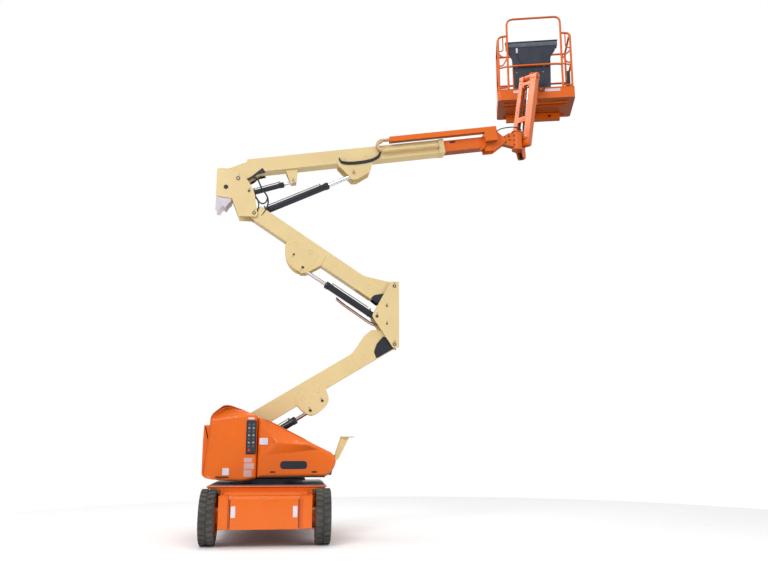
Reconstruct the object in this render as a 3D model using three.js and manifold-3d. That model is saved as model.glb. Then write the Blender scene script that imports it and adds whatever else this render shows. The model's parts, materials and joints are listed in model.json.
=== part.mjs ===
// An electric articulating boom lift: a narrow four-wheel chassis, a slewing turntable, a two-arm
// riser tower whose uprights stay plumb, a telescoping main boom and a swinging jib with a platform.
// Millimetres, +Z up. The boom plane is XZ with the platform towards +X; the chassis lies along Y,
// its driven axle at -Y and its steered axle at +Y. The origin is under the middle, on the ground.
import * as THREE from "three";
import { mergeVertices } from "three/addons/utils/BufferGeometryUtils.js";
import Module from "manifold-3d";

const wasm = await Module();
wasm.setup();

// ---- fits
const SEAT = 0.3; // between faces that rest on each other
const PIN_FIT = 0.5; // round a pin in its bore
const PAD_FIT = 0.6; // between a telescoping section and its wear pads
const RUNNING = 8; // round anything that swings past something else

// ---- chassis and wheels
const WIDTH = 1500;
const WHEELBASE = 2000;
const TYRE_D = 635;
const TYRE_W = 178;
const RIM_D = 420;
const HUB_R = 75;
const CHASSIS_REAR = -1262; // the driven end
const CHASSIS_FRONT = 1180;
const CHASSIS_BOTTOM = 200;
const CHASSIS_TOP = 600;
const WHEEL_GAP = 42; // between the chassis side and the tyre
const STEER_END_HALF = 340; // half width of the frame between the steered wheels
const COVER_T = 26;
const COVER_TOP = 566;
const COVER_LEFT = -410;
const COVER_RIGHT = 385;
const DECK_T = 12;
const DECK_TOP = 656;
const KINGPIN_INSET = 141; // from the wheel's mid plane inwards to the kingpin
const KINGPIN_R = 20;
const STEER_ARM = 170;
const TIE_ROD_Z = 207;

// ---- turntable
const SLEW_R = 440;
const SLEW_TOP = 700;
const BASE_TOP = 742;
const FLOOR_T = 14;
const FLOOR_FRONT = 700;
const SKIN = 12;
const COWL_HALF = 560; // outer half width over the cowls and hoods
const COWL_INNER = 165;
const HOOD_INNER = 200;
const HOOD_REAR = -140;
const TAIL_X = -828;
const WEIGHT_FRONT = -640;
const WEIGHT_HALF = 400;
const WEIGHT_TOP = 1384;
const MAST_INNER = 112; // half the gap between the mast plates
const MAST_T = 12;
const HOOD_HINGE = { y: 186, r: 8, from: [60, 1375], to: [640, 1085] };
const REST_TOP = 1247;

// ---- riser tower: pins in the boom plane, with the arms' rest angles in degrees
const LOWER_PIVOT = [-350, 1281];
const LOWER_CYL_BASE = [-330, 1049];
const LOWER_ANGLE = 31.1;
const LOWER_LENGTH = 2322;
const LOWER_BOX = { rise: 70, depth: 230, half: 90 };
const KNUCKLE_HEIGHT = 807;
const MID_LENGTH = 2185;
const MID_ANGLE = 26.8; // of the line of its pins; its box lies steeper
const MID_BOX_ANGLE = 33.5;
const MID_BOX = { drop: 220, depth: 216, half: 90 };
const ARM_WALL = 8;
const ARM_PIN_R = 22;
const KNUCKLE_INNER = 130;
const KNUCKLE_T = 12;
const MID_CYL_BASE = [-242, -427]; // from the knuckle's top pin
const UPRIGHT_INNER = 115;
const UPRIGHT_T = 12;
const MAIN_PIVOT = [-233, 493]; // from the upright's arm pin
const LEVEL_BASE = [-78, 315];

// ---- main boom, in its own frame: X along it, from the main pivot
const MAIN_ANGLE = 9;
const MAIN_BOX = { from: 150, to: 2990, bottom: 72, depth: 200, half: 100 };
const BOOM_WALL = 8;
const FLY = { from: 1500, to: 3700, half: 80, bottom: 87, depth: 170, wall: 7 };
const HEAD_PIVOT = [3880, 175];
const LIFT_ROD_PIN = [1614, -95];
const LEVEL_ROD_PIN = [753, -99];
const GUSSET_T = 12;
const TRACK = { inner: 101, outer: 188, sheet: 5, trayFrom: 2050, trayTo: 2912, trayTop: 262 };
const CARRIER = { from: 2190, to: 3790, bottom: 285, top: 362 };
const BEND = { x: 2075, z: 253, outer: 92, inner: 62, low: 320, high: 700 };
const TRAY_BOTTOM = BEND.z - BEND.outer - TRACK.sheet - SEAT; // the lower run of the track lies on it

// ---- jib and platform
const SWING_X = 247; // from the head pivot to the swing axis
const SWING_ANGLE = 44;
const SWING_R = 75;
const SWING_LOW = -106;
const SWING_HIGH = 154;
const JIB_OUT = 130;
const JIB_BASE_Z = 4;
const JIB_LENGTH = 1290;
const JIB_ANGLE = 74;
const JIB_HALF = 145;
const JIB_RAIL_LEFT = 65; // the two side members differ in width
const JIB_RAIL_RIGHT = 100;
const JIB_DEPTH = 100;
const JIB_CYL_SIDE = 17.5; // the cylinder stands midway between the side members
const JIB_CYL_BASE = [40, -190]; // from the jib pin, in the swivel's frame
const JIB_ROD_PIN = [1130, -30];
const ROTATOR_OUT = 110;
const ROTATOR_R = 55;
const ROTATOR_HALF = 90;
const PLATFORM_ANGLE = 32.2;
const PLATFORM = { near: 165, depth: 760, width: 1220, side: -60, bottom: -230 };
const FLOOR_PLATE = 25;
const TREAD = 3; // the ribbed mat that is raised inside the posts
const TOE_HEIGHT = 180;
const TOE_T = 6;
const RAIL_HEIGHT = 1140; // above the underside of the floor
const HOOP_HEIGHT = 1435;
const MID_RAIL = 590;
const RAIL_R = 17;
const HOOP_HALF = 430;
const GATE_HINGE = -300; // from the platform's middle
const GATE_WIDTH = 600;

// ---- cylinders: barrel and rod radius, barrel length
const LOWER_CYL = { r: 45, rod: 25, barrel: 785 };
const MID_CYL = { r: 45, rod: 25, barrel: 840 };
const LIFT_CYL = { r: 46, rod: 28, barrel: 1135 };
const LEVEL_CYL = { r: 34, rod: 18, barrel: 500 };
const JIB_CYL = { r: 34, rod: 18, barrel: 760 };

// ---- finishes
const paint = (color, roughness = 0.45, metalness = 0.1) =>
  new THREE.MeshStandardMaterial({ color, roughness, metalness });
const ORANGE = paint(0xf07a22);
const CREAM = paint(0xe6ce9b);
const BLACK = paint(0x20222c, 0.4, 0.3);
const CHROME = paint(0xd8dade, 0.12, 1);
const STEEL = paint(0x8f9296, 0.35, 0.9);
const RUBBER = paint(0x4a4640, 0.9, 0);
const SLATE = paint(0x2e3240, 0.6, 0);
const TREAD_PLATE = paint(0x9a9b9d, 0.4, 0.8);
const BAND = paint(0xb08a58, 0.7, 0);

// ---- solids
const rad = THREE.MathUtils.degToRad;
const cosd = (a) => Math.cos(rad(a));
const sind = (a) => Math.sin(rad(a));

function solid(geometry) {
  const bare = geometry.index ? geometry.toNonIndexed() : geometry;
  const merged = mergeVertices(
    new THREE.BufferGeometry().setAttribute("position", bare.getAttribute("position")),
    1e-4,
  );
  return new wasm.Manifold(
    new wasm.Mesh({
      numProp: 3,
      vertProperties: merged.attributes.position.array,
      triVerts: new Uint32Array(merged.index.array),
    }),
  );
}

const join = (first, ...rest) => rest.reduce((sum, next) => sum.add(next), first);
const cut = (first, ...rest) => rest.reduce((left, next) => left.subtract(next), first);

function box(x0, x1, y0, y1, z0, z1) {
  const shape = new THREE.BoxGeometry(x1 - x0, y1 - y0, z1 - z0);
  return solid(shape.translate((x0 + x1) / 2, (y0 + y1) / 2, (z0 + z1) / 2));
}

// An outline extruded along the third axis of a right-handed basis, from `from` to `to`.
function extruded(points, u, v, from, to) {
  const shape = new THREE.Shape(points.map((p) => new THREE.Vector2(...p)));
  const w = u.clone().cross(v);
  const made = new THREE.ExtrudeGeometry(shape, { depth: to - from, bevelEnabled: false });
  return solid(made.translate(0, 0, from).applyMatrix4(new THREE.Matrix4().makeBasis(u, v, w)));
}
const X = new THREE.Vector3(1, 0, 0);
const Y = new THREE.Vector3(0, 1, 0);
const Z = new THREE.Vector3(0, 0, 1);
const plate = (points, y0, y1) => extruded(points, X, Z, -y1, -y0); // outline in XZ
const slab = (points, z0, z1) => extruded(points, X, Y, z0, z1); // outline in XY
const section = (points, x0, x1) => extruded(points, Y, Z, x0, x1); // outline in YZ
const plates = (points, inner, thick) =>
  [plate(points, inner, inner + thick), plate(points, -inner - thick, -inner)];

function rod(a, b, r, sides = 16) {
  const from = new THREE.Vector3(...a);
  const span = new THREE.Vector3(...b).sub(from);
  const shape = new THREE.CylinderGeometry(r, r, span.length(), sides);
  const turn = new THREE.Quaternion().setFromUnitVectors(Y, span.clone().normalize());
  return solid(shape.applyQuaternion(turn).translate(...from.addScaledVector(span, 0.5)));
}
const pinY = (x, z, r, half, sides) => rod([x, -half, z], [x, half, z], r, sides);
const ball = (p, r) => solid(new THREE.SphereGeometry(r, 8, 5).translate(...p));

// Rods along a bent line, with a ball at each bend.
function rail(points, r = RAIL_R) {
  const runs = points.slice(1).map((p, i) => rod(points[i], p, r, 8));
  return join(...runs, ...points.slice(1, -1).map((p) => ball(p, r * 1.06)));
}

// The outline moved inwards by d on every side.
function inset(points, d) {
  const area = points.reduce((sum, [x, y], i) => {
    const [nx, ny] = points[(i + 1) % points.length];
    return sum + x * ny - nx * y;
  }, 0);
  const side = Math.sign(area);
  const lines = points.map(([x, y], i) => {
    const [nx, ny] = points[(i + 1) % points.length];
    const long = Math.hypot(nx - x, ny - y);
    const dir = [(nx - x) / long, (ny - y) / long];
    return { at: [x - dir[1] * d * side, y + dir[0] * d * side], dir };
  });
  return lines.map((line, i) => {
    const last = lines[(i + lines.length - 1) % lines.length];
    const cross = last.dir[0] * line.dir[1] - last.dir[1] * line.dir[0];
    const gap = [line.at[0] - last.at[0], line.at[1] - last.at[1]];
    const t = (gap[0] * line.dir[1] - gap[1] * line.dir[0]) / cross;
    return [last.at[0] + last.dir[0] * t, last.at[1] + last.dir[1] * t];
  });
}

// A rectangle with round corners, counter-clockwise.
function roundedRect(x0, x1, y0, y1, r, steps = 4) {
  const corners = [[x1 - r, y1 - r, 0], [x0 + r, y1 - r, 90], [x0 + r, y0 + r, 180], [x1 - r, y0 + r, 270]];
  return corners.flatMap(([cx, cy, start]) =>
    Array.from({ length: steps + 1 }, (_, i) => {
      const a = start + (90 * i) / steps;
      return [cx + r * cosd(a), cy + r * sind(a)];
    }),
  );
}

// ---- the scene graph: one group for each moving body, standing at its joint
const lift = new THREE.Group();
const turned = (dx, dz, angle) => [dx * cosd(angle) - dz * sind(angle), dx * sind(angle) + dz * cosd(angle)];

function body(parent, name, [x, y, z], { tilt = 0, yaw = 0 } = {}) {
  const group = new THREE.Group();
  group.name = name;
  group.position.set(x, y, z);
  group.rotation.set(0, rad(-tilt), rad(yaw), "ZYX");
  parent.add(group);
  return group;
}

function add(group, name, made, material) {
  const m = made.getMesh();
  const geometry = new THREE.BufferGeometry();
  const corners = new Float32Array(m.numVert * 3);
  for (let i = 0; i < m.numVert; i++)
    corners.set(m.vertProperties.subarray(i * m.numProp, i * m.numProp + 3), i * 3);
  geometry.setAttribute("position", new THREE.BufferAttribute(corners, 3));
  geometry.setIndex(new THREE.BufferAttribute(m.triVerts, 1));
  geometry.computeVertexNormals();
  const mesh = new THREE.Mesh(geometry, material);
  mesh.name = name;
  group.add(mesh);
  return mesh;
}

// A hydraulic cylinder between two pins, given in the frame of the group that carries its base.
// The barrel turns on the base pin and the rod slides out of it along the same line.
function cylinder(carrier, name, base, end, size, side = 0) {
  const span = [end[0] - base[0], end[1] - base[1]];
  const length = Math.hypot(...span);
  const angle = THREE.MathUtils.radToDeg(Math.atan2(span[1], span[0]));
  const barrelBody = body(carrier, name + "_barrel_body", [base[0], side, base[1]], { tilt: angle });
  const eye = size.r * 0.85;
  const bore = rod([eye * 2, 0, 0], [size.barrel + 1, 0, 0], size.rod + PIN_FIT, 20);
  const gland = rod([size.barrel - 60, 0, 0], [size.barrel, 0, 0], size.r + 5, 20);
  const barrel = cut(
    join(pinY(0, 0, eye, size.r * 0.9), rod([eye * 0.5, 0, 0], [size.barrel, 0, 0], size.r, 20), gland),
    bore,
    pinY(0, 0, size.rod * 0.8 + PIN_FIT, size.r * 2),
  );
  add(barrelBody, name + "_barrel", barrel, BLACK);
  const rodBody = body(barrelBody, name + "_rod_body", [length, 0, 0]);
  const inside = Math.min(length - eye * 2 - 20, size.barrel * 0.8 + (length - size.barrel) * 0.2);
  const made = join(rod([-inside, 0, 0], [0, 0, 0], size.rod, 20), pinY(0, 0, size.rod * 1.35, size.r * 0.8));
  add(rodBody, name + "_rod", cut(made, pinY(0, 0, size.rod * 0.7, size.r * 2)), CHROME);
}

// ---- chassis
const axleHalf = WHEELBASE / 2;
const wheelX = (WIDTH - TYRE_W) / 2;
const wheelZ = TYRE_D / 2;
const frameHalf = wheelX - TYRE_W / 2 - WHEEL_GAP;
const kingpinX = wheelX - KINGPIN_INSET;
const axleBoxHalf = 60;

function chassis(group) {
  const wideEnd = axleHalf - TYRE_D / 2 - 98; // where the full-width part stops short of the steered wheels
  const boxEnd = -axleHalf + TYRE_D / 2 + 60;
  const frame = cut(
    join(
      box(-STEER_END_HALF, STEER_END_HALF, CHASSIS_REAR, CHASSIS_FRONT, CHASSIS_BOTTOM + 40, CHASSIS_TOP),
      box(-frameHalf, frameHalf, CHASSIS_REAR, wideEnd, CHASSIS_BOTTOM, COVER_TOP),
      box(-wheelX - 29, wheelX + 29, boxEnd, wideEnd, CHASSIS_BOTTOM + 60, COVER_TOP - 5),
      box(-frameHalf + 60, frameHalf - 60, CHASSIS_REAR + 40, wideEnd, COVER_TOP - 1, CHASSIS_TOP),
      box(-frameHalf + 20, frameHalf - 20, -wideEnd, wideEnd, CHASSIS_TOP - 1, DECK_TOP - DECK_T - SEAT),
    ),
    rod([-WIDTH, -axleHalf, wheelZ], [WIDTH, -axleHalf, wheelZ], HUB_R + SEAT, 24),
    box(-WIDTH, WIDTH, axleHalf - axleBoxHalf - SEAT, axleHalf + axleBoxHalf + SEAT, wheelZ - 58 - SEAT, wheelZ + 58 + SEAT),
  );
  add(group, "chassis_frame", frame, ORANGE);
  const coverOutline = (y, out) => [
    [y, CHASSIS_BOTTOM], [y + out, CHASSIS_BOTTOM], [y + out, COVER_TOP - 34], [y + out * 0.35, COVER_TOP], [y, COVER_TOP],
  ];
  const rearOutline = coverOutline(CHASSIS_REAR - SEAT, -COVER_T).reverse();
  add(group, "rear_battery_cover", section(rearOutline, COVER_LEFT, COVER_RIGHT), ORANGE);
  const frontOutline = coverOutline(CHASSIS_FRONT + SEAT, COVER_T).map(([y, z]) => [y, Math.max(z, CHASSIS_BOTTOM + 40)]);
  add(group, "front_battery_cover", section(frontOutline, -STEER_END_HALF + 20, STEER_END_HALF - 20), ORANGE);
  const deck = box(-wheelX - 40, wheelX + 40, -axleHalf + 80, axleHalf - 80, DECK_TOP - DECK_T, DECK_TOP);
  add(group, "deck_plate", deck, TREAD_PLATE);
  add(group, "slew_ring", rod([0, 0, DECK_TOP + SEAT], [0, 0, SLEW_TOP], SLEW_R, 40), BLACK);
  const hubEnd = wheelX - TYRE_W / 2 + 30;
  const driveAxle = join(
    rod([-hubEnd, -axleHalf, wheelZ], [hubEnd, -axleHalf, wheelZ], HUB_R, 24),
    ...[-1, 1].map((s) => rod([s * (frameHalf + SEAT), -axleHalf, wheelZ], [s * hubEnd, -axleHalf, wheelZ], HUB_R + 35, 24)),
  );
  add(group, "drive_axle", driveAxle, ORANGE);

  const yokeIn = kingpinX - 44;
  const yokes = [-1, 1].flatMap((s) => [[243, 262], [373, 392]].map(([z0, z1]) => join(
    rod([s * kingpinX, axleHalf, z0], [s * kingpinX, axleHalf, z1], 38),
    box(Math.min(s * yokeIn, s * kingpinX), Math.max(s * yokeIn, s * kingpinX), axleHalf - 38, axleHalf + 38, z0, z1))));
  const webs = [-1, 1].map((s) => box(Math.min(s * (yokeIn - 20), s * yokeIn), Math.max(s * (yokeIn - 20), s * yokeIn),
    axleHalf - 45, axleHalf + 45, 243, 392));
  const beam = box(-yokeIn, yokeIn, axleHalf - axleBoxHalf, axleHalf + axleBoxHalf, wheelZ - 58, wheelZ + 58);
  const bores = [-1, 1].map((s) => rod([s * kingpinX, axleHalf, 200], [s * kingpinX, axleHalf, 420], KINGPIN_R + PIN_FIT));
  add(group, "steer_axle", cut(join(beam, ...webs, ...yokes), ...bores), ORANGE);
}

function wheel(parent, where, spin) {
  const half = TYRE_W / 2;
  const outer = TYRE_D / 2;
  const seat = RIM_D / 2;
  const profile = [[seat, -half + 12], [outer - 22, -half], [outer, -half + 16], [outer, half - 16], [outer - 22, half], [seat, half - 12]];
  const lathe = (points, sides) =>
    solid(new THREE.LatheGeometry(points.map((p) => new THREE.Vector2(...p)), sides).rotateZ(rad(-90)));
  add(spin, "tyre_" + where, lathe([...profile, profile[0]], 32), RUBBER);
  const r = seat - SEAT;
  const disc = [[0, -20], [r, -20], [r, 20], [0, 20]];
  const rim = join(
    lathe(disc, 32),
    cut(rod([-half + 14, 0, 0], [half - 14, 0, 0], r, 32), rod([-half, 0, 0], [half, 0, 0], r - 14, 32)),
    rod([-20, 0, 0], [half - 34, 0, 0], HUB_R, 20),
    rod([-half + 30 + SEAT, 0, 0], [20, 0, 0], HUB_R, 20),
  );
  add(spin, "rim_" + where, parent === "left" ? rim.mirror([1, 0, 0]) : rim, ORANGE);
}

const chassisBody = body(lift, "chassis", [0, 0, 0]);
chassis(chassisBody);
for (const [side, s] of [["left", -1], ["right", 1]]) {
  wheel(side, "rear_" + side, body(lift, "wheel_rear_" + side, [s * wheelX, -axleHalf, wheelZ]));
  const steer = body(lift, "steer_" + side, [s * kingpinX, axleHalf, 0]);
  const armZ = 222;
  const knuckle = join(
    rod([0, 0, armZ], [0, 0, 405], KINGPIN_R),
    rod([0, 0, 267], [0, 0, 368], 36),
    rod([s * 20, 0, wheelZ], [s * (KINGPIN_INSET - TYRE_W / 2 + 30), 0, wheelZ], 45),
    box(-22, 22, -20, STEER_ARM + 20, armZ, armZ + 16),
    rod([0, STEER_ARM, TIE_ROD_Z - 9], [0, STEER_ARM, armZ + 4], 9, 16),
  );
  add(steer, "steer_knuckle_" + side, knuckle, ORANGE);
  wheel(side, "front_" + side, body(steer, "wheel_front_" + side, [s * KINGPIN_INSET, 0, wheelZ]));
}
const tieBody = body(lift, "tie_rod_body", [-kingpinX, axleHalf + STEER_ARM, 0]);
const tieRod = cut(
  join(
    rod([0, 0, TIE_ROD_Z], [2 * kingpinX, 0, TIE_ROD_Z], 11, 14),
    ...[0, 2 * kingpinX].map((x) => rod([x, 0, TIE_ROD_Z - 12], [x, 0, TIE_ROD_Z + 12], 20)),
  ),
  ...[0, 2 * kingpinX].map((x) => rod([x, 0, TIE_ROD_Z - 20], [x, 0, TIE_ROD_Z + 20], 9 + PIN_FIT, 16)),
);
add(tieBody, "tie_rod", tieRod, STEEL);

// ---- turntable
const floorTop = BASE_TOP + FLOOR_T;
const turret = body(lift, "turntable", [0, 0, 0]);
const cowlOutline = [
  [HOOD_REAR - RUNNING, 729], [HOOD_REAR - RUNNING, 1491], [-243, 1532], [-502, 1625], [-577, 1625], [-730, 1501], [-731, 1370], [-800, 826],
  [-787, 744], [-602, 700], [-305, 690],
];
const hoodOutline = [
  [727, 745], [820, 856], [848, 952], [798, 1035], [606, 1128], [26, 1420], [HOOD_REAR, 1489], [HOOD_REAR, 735],
];

function turntable(group) {
  const mast = [
    [-636, floorTop - 1], [800, floorTop - 1], [850, 940], [850, 1005], [780, 1010], [606, 1095], [26, 1385], [-450, 1400], [-636, 1300],
  ];
  const span = (x0, x1, half) => box(x0, x1, -half, half, BASE_TOP - 1, floorTop);
  const frame = join(
    box(-SLEW_R, SLEW_R + 20, -430, 430, SLEW_TOP + SEAT, BASE_TOP - 20),
    span(WEIGHT_FRONT + SEAT, HOOD_REAR - RUNNING - SKIN - SEAT, COWL_HALF - SKIN - SEAT),
    span(WEIGHT_FRONT + SEAT, FLOOR_FRONT, COWL_INNER - 12),
    box(-SLEW_R, SLEW_R, -COWL_INNER + 12, COWL_INNER - 12, BASE_TOP - 21, BASE_TOP),
    span(HOOD_REAR + SKIN + RUNNING, FLOOR_FRONT, COWL_HALF - SKIN - RUNNING),
    ...plates(mast, MAST_INNER, MAST_T),
    pinY(...LOWER_PIVOT, ARM_PIN_R, MAST_INNER + MAST_T + 6),
    pinY(...LOWER_CYL_BASE, LOWER_CYL.rod * 0.8, MAST_INNER + MAST_T + 4),
    ...[-1, 1].flatMap((s) => hingeTabs(s)),
  );
  add(group, "turntable_frame", frame, BLACK);
  const weightLow = BASE_TOP + 2;
  const weight = plate([
    [WEIGHT_FRONT, weightLow], [WEIGHT_FRONT, WEIGHT_TOP], [TAIL_X + 14, WEIGHT_TOP], [TAIL_X + 4, WEIGHT_TOP - 10],
    [TAIL_X, weightLow + 60], [TAIL_X + 12, weightLow + 26], [TAIL_X + 50, weightLow],
  ], -WEIGHT_HALF, WEIGHT_HALF);
  add(group, "counterweight", weight, ORANGE);
  for (const [name, s] of [["cowl_near", -1], ["cowl_far", 1]]) add(group, name, cowl(s), ORANGE);
  const panel = box(-283, -159, -COWL_HALF - SEAT - 6, -COWL_HALF - SEAT, 1023, 1438);
  add(group, "ground_control_panel", panel, BLACK);
  const restOutline = [
    [850 + SEAT, 945], [880, 945], [896, 968], [1030, REST_TOP - 9], [1093, REST_TOP - 9], [1093, REST_TOP], [933, REST_TOP],
    [933, REST_TOP - 9], [856, 1007], [850 + SEAT, 985],
  ];
  const rest = join(
    ...plates(restOutline, 150, 12),
    box(850 + SEAT, 880, -162, 162, 948, 984),
    ...[-1, 1].map((s) => box(933, 1093, s > 0 ? 100 : -197, s > 0 ? 197 : -100, REST_TOP - 10, REST_TOP)),
  );
  add(group, "boom_rest", rest, CREAM);
  add(group, "hydraulic_unit", box(-90, 420, -510, -230, floorTop + SEAT, 1040), BLACK);
  add(group, "battery_pack", box(-90, 420, 230, 510, floorTop + SEAT, 1060), BLACK);
}

const hingeDir = [HOOD_HINGE.to[0] - HOOD_HINGE.from[0], HOOD_HINGE.to[1] - HOOD_HINGE.from[1]];
const onHinge = (t, s) => [HOOD_HINGE.from[0] + hingeDir[0] * t, s * HOOD_HINGE.y, HOOD_HINGE.from[1] + hingeDir[1] * t];

function hingeTabs(s) {
  const tabs = [0.12, 0.88].map((t) => {
    const [x, y, z] = onHinge(t, s);
    return box(x - 22, x + 22, Math.min(s * MAST_INNER, y + s * 6), Math.max(s * MAST_INNER, y + s * 6), z - 10, z + 2);
  });
  return [...tabs, rod(onHinge(0, s), onHinge(1, s), HOOD_HINGE.r, 12)];
}

function shell(outline, s, innerY) {
  const [y0, y1] = s > 0 ? [innerY, COWL_HALF] : [-COWL_HALF, -innerY];
  const [c0, c1] = s > 0 ? [innerY - 10, COWL_HALF - SKIN] : [-COWL_HALF + SKIN, -innerY + 10];
  const hollow = inset(outline, SKIN);
  const low = Math.min(...hollow.map((p) => p[1]));
  const inside = hollow.map(([x, z]) => [x, z]);
  const ends = inside.filter((p) => p[1] < low + 60).map((p) => p[0]);
  return cut(
    plate(outline, y0, y1),
    plate(inside, c0, c1),
    box(Math.min(...ends), Math.max(...ends), c0, c1, 600, low + 40),
  );
}

function cowl(s) {
  const clear = RUNNING;
  const weightSpace = box(TAIL_X - clear, WEIGHT_FRONT + clear, -WEIGHT_HALF - clear, WEIGHT_HALF + clear, 600, WEIGHT_TOP + clear);
  return cut(shell(cowlOutline, s, COWL_INNER), weightSpace);
}

function hood(s) {
  const lugs = [0.3, 0.7].map((t) => {
    const a = onHinge(t - 0.07, s);
    const b = onHinge(t + 0.07, s);
    const knuckle = rod(a, b, HOOD_HINGE.r + 8, 16);
    const [x, , z] = onHinge(t, s);
    const y = s * HOOD_INNER;
    const arm = box(x - 30, x + 30, Math.min(y - s * 10, y + s * 16), Math.max(y - s * 10, y + s * 16), z + 2, z + 22);
    return join(knuckle, arm);
  });
  // the rear is open but for a narrow flange, so that it swings clear of what stands in the bay
  const flange = COWL_HALF - SKIN - 14;
  const [y0, y1] = s > 0 ? [HOOD_INNER - 10, flange] : [-flange, -HOOD_INNER + 10];
  return cut(
    join(shell(hoodOutline, s, HOOD_INNER), ...lugs),
    rod(onHinge(-0.2, s), onHinge(1.2, s), HOOD_HINGE.r + PIN_FIT, 16),
    box(HOOD_REAR - 1, HOOD_REAR + SKIN + 1, y0, y1, 700, 1440),
  );
}

turntable(turret);
for (const [name, s] of [["hood_near", -1], ["hood_far", 1]]) {
  const [x, y, z] = onHinge(0, s);
  const hinged = body(turret, name + "_body", [x, y, z]);
  add(hinged, name, hood(s).translate([-x, -y, -z]), ORANGE);
}

// ---- riser tower
const flat = ([x, z]) => [x, 0, z];
const lowerBody = body(turret, "lower_boom_body", flat(LOWER_PIVOT), { tilt: LOWER_ANGLE });

function lowerBoom(group) {
  const { rise, depth, half } = LOWER_BOX;
  const [low, high] = [rise - depth / 2, rise + depth / 2];
  const end = LOWER_LENGTH;
  const nose = [-60, -30, 0, 30, 60, 90].map((a) => [end + 40 * cosd(a), 40 * sind(a)]);
  const outline = [
    [-60, low + 10], [0, low], [end - 30, low], ...nose, [end - 28, 92], [end - 62, 250], [end - 120, 306], [end - 177, 330],
    [end - 300, 306], [end - 560, high], [60, high], [-70, 60],
  ];
  const mouth = [[end - 250, low - 10], [end + 200, low - 10], [end + 200, 500], [end - 250, 500]];
  const gusset = [
    [820, 60], [775, -20], [800, -130], [850, -225], [898, -257], [960, -245], [1130, -140], [1235, -40], [1250, 40], [1200, 96], [880, 84],
  ];
  const boom = cut(
    join(
      cut(plate(outline, -half, half), plate(inset(outline, ARM_WALL), -half + ARM_WALL, half - ARM_WALL), plate(mouth, -half + ARM_WALL, half - ARM_WALL)),
      ...plates(gusset, half - 0.5, GUSSET_T),
      ...[-1, 1].map((s) => bossY(898, -188, s, half - 14, 26)),
    ),
    box(-120, 240, -half + ARM_WALL, half - ARM_WALL, -300, 500),
    pinY(0, 0, ARM_PIN_R + PIN_FIT, 200),
    pinY(end, 0, ARM_PIN_R + PIN_FIT, 200),
  );
  add(group, "lower_boom", boom, CREAM);
}

// A round boss on the inside or outside of a pair of plates, at one side.
function bossY(x, z, s, from, r, long = 30) {
  return rod([x, s * from, z], [x, s * (from + long), z], r);
}

lowerBoom(lowerBody);
cylinder(turret, "lower_cylinder", LOWER_CYL_BASE,
  [LOWER_PIVOT[0] + turned(898, -188, LOWER_ANGLE)[0], LOWER_PIVOT[1] + turned(898, -188, LOWER_ANGLE)[1]], LOWER_CYL);

const knuckleBody = body(lowerBody, "knuckle_body", [LOWER_LENGTH, 0, 0], { tilt: -LOWER_ANGLE });
function knuckle(group) {
  const top = KNUCKLE_HEIGHT;
  const outline = [[62, -45], [64, top + 63], [-52, top + 63], [-300, 408], [-303, 372], [-24, -45]];
  const out = KNUCKLE_INNER + KNUCKLE_T;
  const made = join(
    ...plates(outline, KNUCKLE_INNER, KNUCKLE_T),
    box(50, 62, -KNUCKLE_INNER - 1, KNUCKLE_INNER + 1, 60, top - 90),
    pinY(0, 0, ARM_PIN_R, out + 6),
    pinY(0, top, ARM_PIN_R, out + 6),
    pinY(MID_CYL_BASE[0], top + MID_CYL_BASE[1], MID_CYL.rod * 0.8, out + 5),
    ...[280, 526].flatMap((z) => [-1, 1].map((s) => bossY(-105, z, s, KNUCKLE_INNER - 10, 16, KNUCKLE_T + 15))),
  );
  add(group, "tower_knuckle", made, CREAM);
}
knuckle(knuckleBody);

// The mid boom's own frame lies along its box: X runs from the knuckle's top pin up to the upright.
const midBody = body(knuckleBody, "mid_boom_body", [0, 0, KNUCKLE_HEIGHT], { tilt: 180 - MID_BOX_ANGLE });
const midPin = [MID_LENGTH * cosd(MID_BOX_ANGLE - MID_ANGLE), MID_LENGTH * sind(MID_BOX_ANGLE - MID_ANGLE)];
const MID_ROD_PIN = [1185, 500];
const SLOT_BACK = 1060; // how far the open top reaches from the upright's pin

function midBoom(group) {
  const { drop, depth, half } = MID_BOX;
  const [high, low] = [drop - depth / 2, drop + depth / 2]; // this frame's Z points down at rest
  const [px, pz] = midPin;
  const outline = [
    [-20, -62], [431, high], [px - 20, high], [px + 40, pz - 62], [px + 62, pz], [px + 40, pz + 50], [px + 10, low],
    [250, low], [150, 290], [70, 120], [-40, 62], [-66, 0],
  ];
  const gusset = [
    [1020, 190], [1100, 170], [1500, 170], [1560, 250], [1520, 400], [1440, 480], [1240, 568], [1165, 577], [1100, 530], [1000, 330],
  ];
  const boom = cut(
    join(
      cut(
        plate(outline, -half, half),
        plate(inset(outline, ARM_WALL), -half + ARM_WALL, half - ARM_WALL),
        box(-200, 420, -half + ARM_WALL, half - ARM_WALL, -200, 600),
        box(px - SLOT_BACK, px + 200, -half + ARM_WALL, half - ARM_WALL, -200, pz + 20),
        box(px - 40, px + 200, -half + ARM_WALL, half - ARM_WALL, -200, 600),
      ),
      ...plates(gusset, half - 0.5, GUSSET_T),
      ...[-1, 1].map((s) => bossY(...MID_ROD_PIN, s, half - 14, 26)),
    ),
    pinY(0, 0, ARM_PIN_R + PIN_FIT, 200),
    pinY(px, pz, ARM_PIN_R + PIN_FIT, 200),
  );
  add(group, "mid_boom", boom, CREAM);
}
midBoom(midBody);
const midRodX = -(MID_ROD_PIN[0] * cosd(MID_BOX_ANGLE) + MID_ROD_PIN[1] * sind(MID_BOX_ANGLE));
const midRodZ = MID_ROD_PIN[0] * sind(MID_BOX_ANGLE) - MID_ROD_PIN[1] * cosd(MID_BOX_ANGLE);
cylinder(knuckleBody, "mid_cylinder", [MID_CYL_BASE[0], KNUCKLE_HEIGHT + MID_CYL_BASE[1]],
  [midRodX, KNUCKLE_HEIGHT + midRodZ], MID_CYL);

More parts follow.
